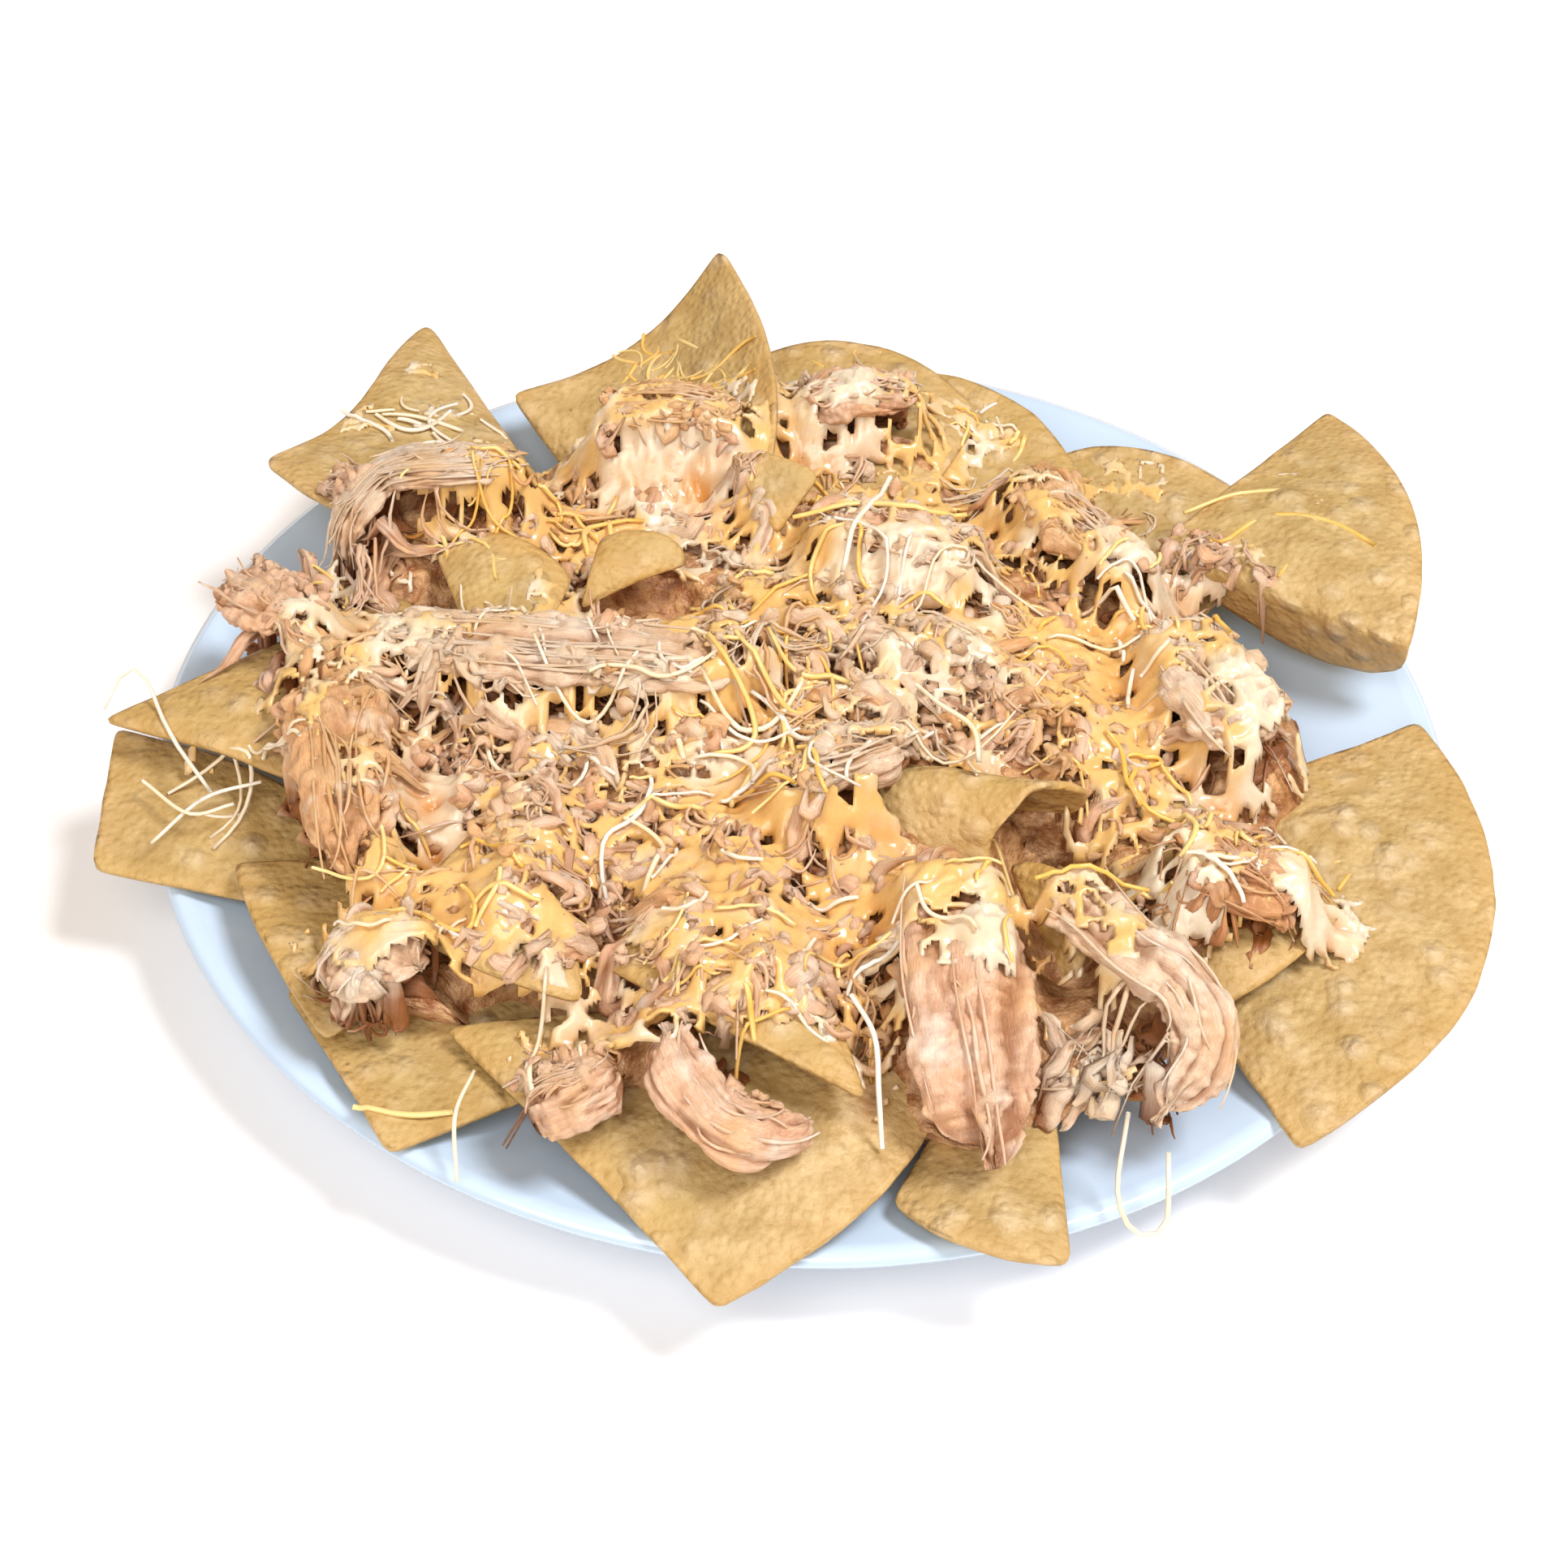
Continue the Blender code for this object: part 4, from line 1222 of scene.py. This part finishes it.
# The large shreds: the tone of each, its half width and half height, how wide its straps are, how far
# its ends crumble, how many loose fibres lie over it, and points along its middle.
SHREDS = {
    "shred_back_left": (
        "pale", 7, 2.4, 1.3, 1.2, 44,
        [(-59, 44, 50), (-71, 37, 54), (-84, 37, 51), (-91, 29, 45), (-91, 24, 38)],
    ),
    "shred_back": (
        "tan", 7, 3.2, 1.8, 2.2, 16,
        [(-44, 64, 47), (-34, 64, 50), (-23, 64, 50), (-15, 62, 47)],
    ),
    "shred_back_right": ("pink", 7.5, 3, 2.2, 2.2, 12, [(-3, 73, 44), (7, 76, 47), (21, 77, 45)]),
    "shred_right_upper": ("tan", 7, 4, 2.2, 1.6, 16, [(43, 53, 42), (52, 39, 43), (63, 26, 42)]),
    "shred_middle_right": ("pink", 7, 4, 2.0, 1.8, 16, [(3, 32, 47), (16, 27, 49), (30, 22, 47)]),
    "shred_long_pale": (
        "pale", 8.5, 3.4, 3.0, 1.6, 16,
        [(-80, -5, 45), (-60, -9, 48), (-38, -11, 49), (-20, -13, 50), (-12, -6, 50)],
    ),
    "shred_far_left": ("pink", 8, 3, 2.2, 2.4, 10, [(-112, 12, 43), (-103, 5, 45), (-94, -1, 45)]),
    "shred_left": (
        "tan", 9, 3.6, 3.2, 2.2, 10,
        [(-91, -13, 44), (-87, -23, 45), (-81, -45, 44), (-77, -62, 39)],
    ),
    "shred_front_left": ("pale", 7, 4, 2.2, 1.6, 10, [(-79, -85, 36), (-72, -79, 40), (-63, -84, 42)]),
    "shred_front_left_pile": (
        "pink", 7, 4, 1.6, 2.0, 18,
        [(-43, -106, 32), (-36, -104, 35), (-29, -100, 37)],
    ),
    "shred_front_loop": (
        "pink", 6, 3.2, 1.9, 1.2, 6,
        [(-22, -94, 42), (-18, -103, 39), (-11, -110, 36), (-2, -110, 34), (3, -106, 33)],
    ),
    "shred_middle": ("pale", 5, 4, 2.4, 1.0, 8, [(-4, -41, 47), (6, -40, 49), (18, -35, 50)]),
    "shred_front_chunk": (
        "pink", 11, 4, 4.6, 2.6, 5,
        [(26, -62, 46), (27, -75, 46), (28, -90, 43), (30, -103, 37), (33, -113, 31)],
    ),
    "shred_front_hook": (
        "pale", 7, 3.4, 4.2, 2.0, 5,
        [(45, -61, 46), (55, -76, 46), (65, -82, 43), (68, -92, 37), (60, -103, 32)],
    ),
    "shred_right_melt": ("pale", 10, 4, 4.0, 2.2, 6, [(71, 7, 42), (78, -9, 43), (85, -18, 40)]),
    "shred_right_brown": (
        "brown", 8.5, 3.2, 2.2, 2.6, 18,
        [(67, -46, 42), (78, -54, 40), (88, -54, 37)],
    ),
}
SHRED_RINGS = 84
SHRED_TURNS = 72
OVER_RINGS = 20


def large_shred(name, row, finishes):
    """A large torn piece of breast along its own line, with loose fibres over it that wander and leave
    it at the ends."""
    tone, half_width, half_height, strap, torn, fibres, line = row
    path = smooth_path(line, SHRED_RINGS)[None]
    seed = len(name) + int(half_width)
    half_widths, half_heights = np.array([half_width]), np.array([half_height])
    body = torn_meat(path, half_widths, half_heights, strap, torn, SHRED_TURNS, seed)
    over = smooth_path(line, OVER_RINGS)[None]
    side, up = strand_frames(over)
    one = (fibres, 1)
    t = np.linspace(-1, 1, OVER_RINGS)[None]
    beside = random.uniform(-0.95, 0.95, one)
    across = half_width * beside * (1 - 0.2 * t**2) + 0.6 * np.sin(2.5 * t + random.uniform(0, tau, one))
    across = across + random.normal(0, 1.8, one) * np.abs(t) ** 4
    above = half_height * np.sqrt(np.clip(1 - beside**2, 0.05, 1)) * (1 - 0.3 * t**4) + 0.1
    above = above + random.exponential(0.9, one) * np.abs(t) ** 6
    reach = random.uniform(0.25, 0.8, one) * t + random.uniform(-0.4, 0.4, one)
    at = (np.clip(reach, -1, 1) + 1) / 2 * (OVER_RINGS - 1)
    low = np.clip(at.astype(int), 0, OVER_RINGS - 2)
    share = (at - low)[..., None]
    spine, aside, rise = [v[0][low] * (1 - share) + v[0][low + 1] * share for v in (over, side, up)]
    paths = spine + aside * across[..., None] + rise * above[..., None]
    fine = strands(paths, tapered(fibres, OVER_RINGS, 0.34, ends=0.2), 6, flat=0.8, ridge=0.1, ragged=0.2)
    # The loose fibres start with no painted shade of their own (attribute deep).
    fine[2]["deep"] = np.zeros(len(fine[0]))
    points, faces, values = joined([body, fine])
    made = piece(name + "_fibres", points, faces, finishes[tone], values)
    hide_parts(name)
    spread = np.linspace(-0.6, 0.6, 5)
    hull = np.concatenate([path + strand_frames(path)[0] * half_width * k for k in spread])
    return made, hull, np.full(hull.shape[:2], half_height * 0.9)


# Melted cheese: kind, middle, half sizes, strength. Places are given at the level of the heap's top.
MELTS = [
    ("yellow", -2, -62, 34, 28, 1.0),
    ("yellow", -58, -72, 24, 18, 1.0),
    ("yellow", 56, -8, 22, 32, 0.95),
    ("yellow", 80, 4, 12, 14, 1.0),
    ("yellow", -55, 36, 26, 13, 0.85),
    ("yellow", 22, 62, 12, 18, 0.9),
    ("yellow", -5, 40, 14, 16, 0.8),
    ("yellow", 34, 42, 16, 24, 0.8),
    ("yellow", -8, 10, 24, 18, 0.75),
    ("yellow", -44, -42, 24, 22, 0.7),
    ("yellow", -24, 66, 20, 12, 0.7),
    ("yellow", 62, 44, 18, 14, 0.6),
    ("yellow", 40, -34, 18, 12, 0.75),
    ("yellow", -18, -92, 20, 8, 0.75),
    ("yellow", -74, -84, 15, 12, 1.0),
    ("yellow", 74, -50, 16, 14, 0.65),
    ("yellow", -84, -40, 10, 26, 0.6),
    ("white", 8, 68, 7, 10, 1.0),
    ("white", -28, 50, 16, 9, 0.9),
    ("white", -66, -50, 8, 12, 1.1),
    ("white", 82, -14, 10, 11, 1.0),
    ("white", 33, -80, 8, 8, 1.1),
    ("white", 66, -56, 7, 13, 0.8),
    ("white", 70, 22, 16, 10, 0.9),
    ("white", -72, -86, 11, 8, 0.7),
    ("white", 93, -62, 12, 12, 0.95),
    ("yellow", 84, -54, 12, 12, 0.8),
    ("yellow", 99, -50, 7, 7, 0.9),
    ("white", -34, 0, 16, 7, 0.8),
    ("white", 20, 20, 14, 8, 0.6),
]

# Chicken that the melted cheese leaves mostly bare: middle, half sizes, how much less cheese.
CLEAN = [
    (30, -101, 13, 17, 0.9),
    (64, -88, 12, 20, 0.7),
    (-81, 36, 17, 11, 0.45),
    (-45, -11, 34, 7, 0.4),
    (-9, -107, 16, 10, 0.9),
    (-82, -44, 10, 22, 0.4),
    (8, -39, 14, 6, 0.6),
    (-36, -104, 9, 7, 0.7),
]

# The skin's grid: how far it reaches and its step, the slope from which cheese runs off, the least share
# of a neighbourhood that a scrap must fill, and the sizes and seeds of the two nets of holes.
MELT_REACH = 118
MELT_STEP = 0.7
MELT_SLOPE = 1.2
LEAST_SHARE = 0.17
WEB_SIZES = ((5.2, 71), (9.0, 81))


def cell_borders(x, y, size, seed):
    """How far each place lies from the border between the two nearest of many scattered middles, one in
    each square of this size."""
    i, j = np.floor(x / size).astype(int), np.floor(y / size).astype(int)
    nearest = np.full(x.shape, 1e6)
    second = nearest.copy()
    for di in (-1, 0, 1):
        for dj in (-1, 0, 1):
            a, b = i + di, j + dj
            cells = np.stack([a, b, 0 * a], axis=-1)
            across = (a + 0.1 + 0.8 * lattice(cells, seed)) * size - x
            upward = (b + 0.1 + 0.8 * lattice(cells, seed + 1)) * size - y
            away = np.hypot(across, upward)
            second = np.minimum(second, np.maximum(nearest, away))
            nearest = np.minimum(nearest, away)
    return (second - nearest) / 2


def melt_strength(ground, x, y, kind):
    """How much cheese of one kind has run together here: the strongest of many round patches."""
    found = np.zeros(x.shape)
    for name, a, b, reach_a, reach_b, strength in MELTS:
        if name == kind:
            away = ground.away(x, y, a, b, reach_a, reach_b)
            found = np.maximum(found, strength * np.clip(1.25 * (1 - away), 0, 1) ** 0.5)
    return found


def melted_skin(ground, finish):
    """Cheese that has run together over the chicken: a net along the borders between round holes, so
    wide in the thick of a patch that the holes close, and thin threads at its edge. The skin lies on the
    averaged top of what is below it and dips under it in the holes."""
    line = np.arange(-MELT_REACH, MELT_REACH, MELT_STEP)
    x, y = np.meshgrid(line, line)
    spots = np.stack([x, y, 0 * x], axis=-1)
    white, yellow = melt_strength(ground, x, y, "white"), melt_strength(ground, x, y, "yellow")
    all_over = 0.4 * (ground.at(x, y, blurred(ground.heap, 3)) > 24)
    cover = np.maximum(np.maximum(white, 0.8 * yellow), all_over)
    cover = cover + 0.4 * noise(spots, 8, seed=61) + 0.2 * noise(spots, 3.2, seed=62)
    for a, b, reach_a, reach_b in BARE:
        away = ground.away(x, y, a, b, reach_a, reach_b)
        cover = cover - 1.5 * np.clip(1.5 - away, 0, 1)
    for a, b, reach_a, reach_b, less in CLEAN:
        away = ((x - a) / reach_a) ** 2 + ((y - b) / reach_b) ** 2
        cover = cover - less * np.exp(-(away**2))
    warp_x, warp_y = 1.3 * noise(spots, 4, seed=63), 1.3 * noise(spots, 4, seed=64)
    border = np.minimum(*[cell_borders(x + warp_x, y + warp_y, size, seed) for size, seed in WEB_SIZES])
    broad = ground.at(x, y, blurred(ground.top, 4))
    slope = np.hypot(*np.gradient(ground.at(x, y, blurred(blurred(ground.top, 5), 5)), MELT_STEP))
    body = -0.75 + 1.85 * cover - border - 3 * np.clip(slope - MELT_SLOPE, 0, 1)
    body = body - np.clip((PLATE_HEIGHT + 9 - broad) / 3, 0, 3)
    rounded = 1 - np.exp(-1.1 * np.maximum(body, 0))
    thick = np.where(body > 0, (0.7 + 1.5 * white) * rounded, 1.5 * body)
    base = np.maximum(0.6 * ground.at(x, y, blurred(ground.top, 1)) + 0.4 * broad, broad) + 0.8
    ripple = 0.3 * noise(spots, 5, seed=65) + 0.12 * noise(spots, 1.8, seed=66)
    z = base + 0.1 + thick + ripple * (body > -0.3)
    kept = body > -0.9
    kept &= blurred(kept.astype(float), 10) > LEAST_SHARE
    rows, columns = x.shape
    number = np.arange(rows * columns).reshape(rows, columns)
    whole = kept[:-1, :-1] & kept[1:, :-1] & kept[:-1, 1:] & kept[1:, 1:]
    corners = [number[:-1, :-1], number[:-1, 1:], number[1:, 1:], number[1:, :-1]]
    quads = np.stack([c[whole] for c in corners], axis=1)
    used, quads = np.unique(quads, return_inverse=True)
    points = np.stack([x, y, z], axis=-1).reshape(-1, 3)[used]
    tone = 0.75 * yellow - 0.95 * white + 0.5 + 0.6 * noise(spots, 6, seed=67)
    looks = {"tone": np.clip(tone, 0, 1).reshape(-1)[used]}
    made = piece("cheese_melted", points, [quads.reshape(-1, 4)], finish, looks)
    wall = made.modifiers.new("wall", "SOLIDIFY")
    wall.thickness = 0.8 * MM
    wall.offset = -1
    apply_modifiers(made)
    high = body.reshape(-1)[used] > 0.1
    ground.add(points[high], 0.8)
    return made


def apply_modifiers(made):
    """Puts the piece's finished mesh in place of its modifiers."""
    graph = bpy.context.evaluated_depsgraph_get()
    baked = bpy.data.meshes.new_from_object(made.evaluated_get(graph))
    made.modifiers.clear()
    made.data = baked


# Loose shreds of cheese on top: kind, middle, half sizes, the way they run, stray, count, length.
LOOSE = [
    ("orange", -32, 86, 14, 12, 60, 60, 44, 13),
    ("orange", -58, 34, 24, 12, 20, 70, 24, 14),
    ("orange", 5, 48, 16, 6, 10, 40, 3, 24),
    ("orange", 0, 6, 24, 22, 30, 80, 18, 16),
    ("orange", -12, -30, 24, 16, 40, 80, 14, 18),
    ("orange", 58, -32, 14, 8, -20, 40, 6, 18),
    ("orange", 8, 92, 12, 6, -20, 60, 6, 12),
    ("orange", 38, 74, 10, 12, 30, 80, 6, 12),
    ("orange", -60, -64, 20, 20, 30, 80, 12, 14),
    ("orange", 46, -70, 20, 16, 10, 70, 7, 16),
    ("orange", 100, 40, 12, 10, -10, 50, 3, 18),
    ("orange", -100, 20, 14, 14, 20, 80, 6, 14),
    ("orange", 60, 20, 24, 24, 20, 80, 12, 15),
    ("orange", 84, -46, 18, 22, 10, 80, 9, 15),
    ("orange", 0, -84, 26, 16, 20, 80, 12, 15),
    ("white", -78, 68, 16, 10, 0, 70, 12, 18),
    ("white", 25, -20, 16, 14, -70, 40, 4, 26),
    ("white", 15, 30, 20, 20, 70, 60, 7, 22),
    ("white", -20, -40, 34, 26, 20, 80, 18, 18),
    ("white", -40, -10, 34, 14, 10, 80, 14, 20),
    ("white", -105, -42, 12, 12, -30, 70, 7, 16),
    ("white", 46, 76, 12, 12, 40, 80, 7, 12),
    ("white", 76, 10, 22, 26, 10, 80, 11, 16),
    ("white", 84, -60, 18, 18, -20, 80, 7, 14),
    ("white", -46, -106, 12, 12, 80, 60, 4, 16),
    ("white", -60, -88, 16, 10, 10, 60, 7, 14),
    ("white", 2, -80, 24, 16, 20, 80, 11, 16),
]

# Single strands that catch the eye: kind, half width, points along them.
SINGLES = [
    ("white", 0.45, [(55, -104, 33), (54, -112, 25), (57, -117, 21), (62, -116, 22), (62, -108, 31)]),
    ("white", 0.4, [(-131, -17, 35.5), (-128, -10, 39), (-124, -11, 38), (-118, -22, 35), (-108, -36, 34)]),
    ("white", 0.5, [(9, -87, 43), (13, -95, 42), (14, -103, 37), (15, -108, 29)]),
    ("white", 0.4, [(-53, -99, 34), (-56, -104, 28), (-55, -113, 22)]),
    ("white", 0.6, [(15, 44, 50), (12, 34, 51), (8, 26, 51), (6, 14, 50)]),
    ("white", 0.55, [(20, -16, 49), (24, -22, 50), (30, -28, 50), (31, -36, 49)]),
    ("white", 0.45, [(-122, -30, 30), (-112, -38, 30), (-104, -36, 31)]),
    ("white", 0.45, [(-118, -44, 28), (-110, -34, 30), (-100, -30, 31)]),
    ("orange", 0.6, [(80, 40, 37), (92, 51, 38), (104, 49, 38), (113, 41, 38)]),
    ("orange", 0.5, [(93, 33, 37), (98, 42, 38), (97, 53, 38)]),
    ("orange", 0.5, [(76, 54, 36), (88, 60, 37), (100, 60, 37)]),
    ("orange", 0.6, [(-74, -99, 23), (-64, -101, 24), (-57, -100, 24)]),
    ("orange", 0.5, [(108, -28, 27), (114, -27, 27), (119, -31, 27)]),
    ("orange", 0.6, [(-4, 30, 50), (8, 33, 51), (20, 30, 51), (30, 33, 50)]),
    ("orange", 0.5, [(40, -64, 46), (50, -62, 47), (60, -63, 46)]),
]


# Rings and sides of a shred of cheese.
CHEESE_RINGS = 14
CHEESE_SIDES = 6


def loose_cheese(ground, kind, finish):
    """Thin grated shreds that have not melted: bent bars lying over everything, with free ends."""
    x, y = [], []
    for name, a, b, reach_a, reach_b, run, stray, count, length in LOOSE:
        if name != kind:
            continue
        middle_x, middle_y = ground.seen(*spots_in(a, b, reach_a, reach_b, count))
        way = radians(run) + random.normal(0, radians(stray), count)
        long = 0.75 * length * random.uniform(0.4, 1.4, count)
        s = np.linspace(-0.5, 0.5, CHEESE_RINGS)[None] * long[:, None]
        bend = random.normal(0, 0.075, count)[:, None]
        sway = random.normal(0, 0.006, count)[:, None]
        c, d = np.cos(way)[:, None], np.sin(way)[:, None]
        aside = bend * s**2 + sway * s**3
        x.append(middle_x[:, None] + c * s - d * aside)
        y.append(middle_y[:, None] + d * s + c * aside)
    x, y = np.concatenate(x), np.concatenate(y)
    full = np.sin(pi * np.linspace(0.1, 0.9, CHEESE_RINGS))
    radii = random.uniform(0.3, 0.58, (len(x), 1)) * (0.7 + 0.3 * full)[None]
    z = rest(ground, x, y, radii, sag=0.12, passes=7, sink=0.3)
    kept = held_up(x, y, z, steepest=1.5)
    paths, radii = np.stack([x, y, z], axis=-1)[kept], radii[kept]
    rows = [row for row in SINGLES if row[0] == kind]
    single = np.stack([smooth_path(row[2], CHEESE_RINGS) for row in rows])
    half = np.array([row[1] for row in rows])[:, None] * (0.8 + 0.2 * full)
    single[..., 2] = np.maximum(single[..., 2], ground.at(single[..., 0], single[..., 1]) + 0.7 * half)
    paths, radii = np.concatenate([paths, single]), np.concatenate([radii, half])
    points, faces, values = strands(paths, radii, CHEESE_SIDES, flat=0.85, ridge=0.1)
    made = piece("cheese_shreds_" + kind, points, faces, finish, values)
    ground.add(paths, radii)
    return made


def blurred(grid, reach):
    """The grid averaged over a square of this reach each way, by running sums along both axes."""
    width = 2 * reach + 1
    for axis in (0, 1):
        ends = [np.repeat(grid.take([place], axis), reach, axis) for place in (0, -1)]
        total = np.cumsum(np.concatenate([ends[0], grid, ends[1]], axis), axis=axis)
        total = np.concatenate([np.zeros_like(total.take([0], axis)), total], axis)
        later = total.take(range(width, total.shape[axis]), axis)
        grid = (later - total.take(range(total.shape[axis] - width), axis)) / width
    return grid


def paint_hollow_shade(made, smooth_top, ground):
    """Attribute deep: painted shade, by how far each point lies below the general surface of the heap."""
    count = len(made.data.vertices)
    points = np.empty(count * 3, np.float32)
    made.data.vertices.foreach_get("co", points)
    points = points.reshape(-1, 3) / MM
    depth = ground.at(points[:, 0], points[:, 1], smooth_top) - points[:, 2]
    deep = np.clip((depth - 0.4) / 3.8, 0, 0.95).astype(np.float32)
    layer = made.data.attributes.get("deep")
    if layer:
        own = np.empty(count, np.float32)
        layer.data.foreach_get("value", own)
        deep = np.maximum(deep, own)
    else:
        layer = made.data.attributes.new("deep", "FLOAT", "POINT")
    layer.data.foreach_set("value", deep)


def toppings(ground):
    """Everything that lies on the core, from below upwards: loose chicken, the large shreds, more loose
    chicken, melted cheese, then loose shreds of cheese."""
    meat = {
        "pale": meat_finish("chicken_pale", (0.82, 0.67, 0.52), (0.75, 0.53, 0.36), (0.52, 0.26, 0.10)),
        "pink": meat_finish("chicken_pink", (0.80, 0.58, 0.42), (0.73, 0.43, 0.26), (0.48, 0.18, 0.06)),
        "tan": meat_finish("chicken_tan", (0.80, 0.52, 0.29), (0.71, 0.39, 0.17), (0.44, 0.16, 0.045)),
        "brown": meat_finish("chicken_brown", (0.72, 0.41, 0.22), (0.54, 0.24, 0.09), (0.30, 0.09, 0.03)),
    }
    melt = cheese_finish("cheese_melt", (0.78, 0.63, 0.46), (0.78, 0.47, 0.17), 0.2)
    white = cheese_finish("cheese_white", (0.88, 0.80, 0.66), (0.88, 0.70, 0.46), 0.3)
    orange = cheese_finish("cheese_orange", (0.90, 0.64, 0.26), (0.88, 0.48, 0.10), 0.3)
    made = []
    laid = {}
    strew_meat(ground, laid, (0, 1))
    for name, row in SHREDS.items():
        shred, paths, radii = large_shred(name, row, meat)
        made.append(shred)
        ground.add(paths, radii)
    strew_meat(ground, laid, (2, 3), proud=7.0)
    for tone, kinds in laid.items():
        for kind, rows in zip(("shreds", "pieces"), kinds):
            points, faces, values = joined([row for row in rows if row])
            name = "chicken_" + tone + "_" + kind
            made.append(piece(name, points, faces, meat[tone], values))
    made.append(melted_skin(ground, melt))
    made.append(loose_cheese(ground, "orange", orange))
    made.append(loose_cheese(ground, "white", white))
    # Painted shade: every topping is darkened where it lies below the smoothed top of the heap (attribute
    # deep).
    smooth_top = blurred(blurred(ground.top, 4), 4)
    for each in made:
        paint_hollow_shade(each, smooth_top, ground)


# ---------------------------------------------------------------- light and camera

# The camera: degrees up from the floor, degrees of roll, the place it looks at, how far off it stands,
# and its lens.
CAMERA_RISE = 44.3
CAMERA_ROLL = 2.3
CAMERA_AIM = (-3.6, -13.8, 20.0)
CAMERA_DISTANCE = 530
CAMERA_LENS = 63.56

# The lamps: the way to each, its distance and width in metres, its power and its colour.
LAMPS = {
    "key": ((0.5, -0.1, 1.0), 1.5, 0.5, 19.5, (0.97, 0.98, 1.0)),
    "front": ((-0.3, -0.95, 1.0), 1.4, 1.1, 13.5, (1.0, 0.97, 0.94)),
}
ROOM_COLOUR = (1.0, 0.79, 0.60, 1)
ROOM_STRENGTH = 0.4
FLOOR_REACH = 4.0


def camera():
    """The camera in front, looking down at the plate."""
    rise = radians(CAMERA_RISE)
    back = Vector((0, -cos(rise), sin(rise)))
    made = bpy.data.cameras.new("camera")
    made.lens = CAMERA_LENS
    made.sensor_width = 36
    made.clip_start = 0.01
    body = bpy.data.objects.new("camera", made)
    across = (-back).cross(Vector((0, 0, 1))).normalized()
    upward = across.cross(-back)
    turn = radians(CAMERA_ROLL)
    x = across * cos(turn) + upward * sin(turn)
    y = -across * sin(turn) + upward * cos(turn)
    spot = (Vector(CAMERA_AIM) + back * CAMERA_DISTANCE) * MM
    body.matrix_world = Matrix.Translation(spot) @ Matrix((x, y, back)).transposed().to_4x4()
    bpy.context.scene.collection.objects.link(body)
    bpy.context.scene.camera = body


def lamp(name, toward, distance, size, power, colour):
    """A round lamp that shines at the plate."""
    made = bpy.data.lights.new(name, "AREA")
    made.shape = "DISK"
    made.size = size
    made.energy = power
    made.color = colour
    body = bpy.data.objects.new(name, made)
    way = Vector(toward).normalized()
    body.location = way * distance
    body.rotation_mode = "QUATERNION"
    body.rotation_quaternion = way.to_track_quat("Z", "Y")
    bpy.context.scene.collection.objects.link(body)


def studio():
    """A high lamp at the back right for crisp shadows, a wide soft one in front, a warm room."""
    for name, row in LAMPS.items():
        lamp(name, *row)
    world = bpy.data.worlds.new("room")
    bpy.context.scene.world = world
    world.use_nodes = True
    light = world.node_tree.nodes["Background"]
    light.inputs["Color"].default_value = ROOM_COLOUR
    light.inputs["Strength"].default_value = ROOM_STRENGTH
    bpy.context.scene.view_settings.view_transform = "Standard"
    mesh = bpy.data.meshes.new("floor")
    corners = [(a * FLOOR_REACH, b * FLOOR_REACH, 0) for a, b in ((-1, -1), (1, -1), (1, 1), (-1, 1))]
    mesh.from_pydata(corners, [], [(0, 1, 2, 3)])
    ground = bpy.data.objects.new("floor", mesh)
    bpy.context.scene.collection.objects.link(ground)
    finish, _, shader = new_finish("floor_paper", Roughness=0.9, Specular_IOR_Level=0.0)
    shader.inputs["Base Color"].default_value = (0.95, 0.95, 0.96, 1)
    mesh.materials.append(finish)


# ---------------------------------------------------------------- the plate of nachos


def main():
    """Sets up the scene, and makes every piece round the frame."""
    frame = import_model()
    camera()
    studio()
    plate(plate_finish())
    tortilla = chip_finish(blister_group())
    for name, row in CHIPS.items():
        chip(name, row, tortilla)
    rolled_chip(tortilla)
    ground = Ground(frame)
    core(ground, core_finish())
    toppings(ground)


main()
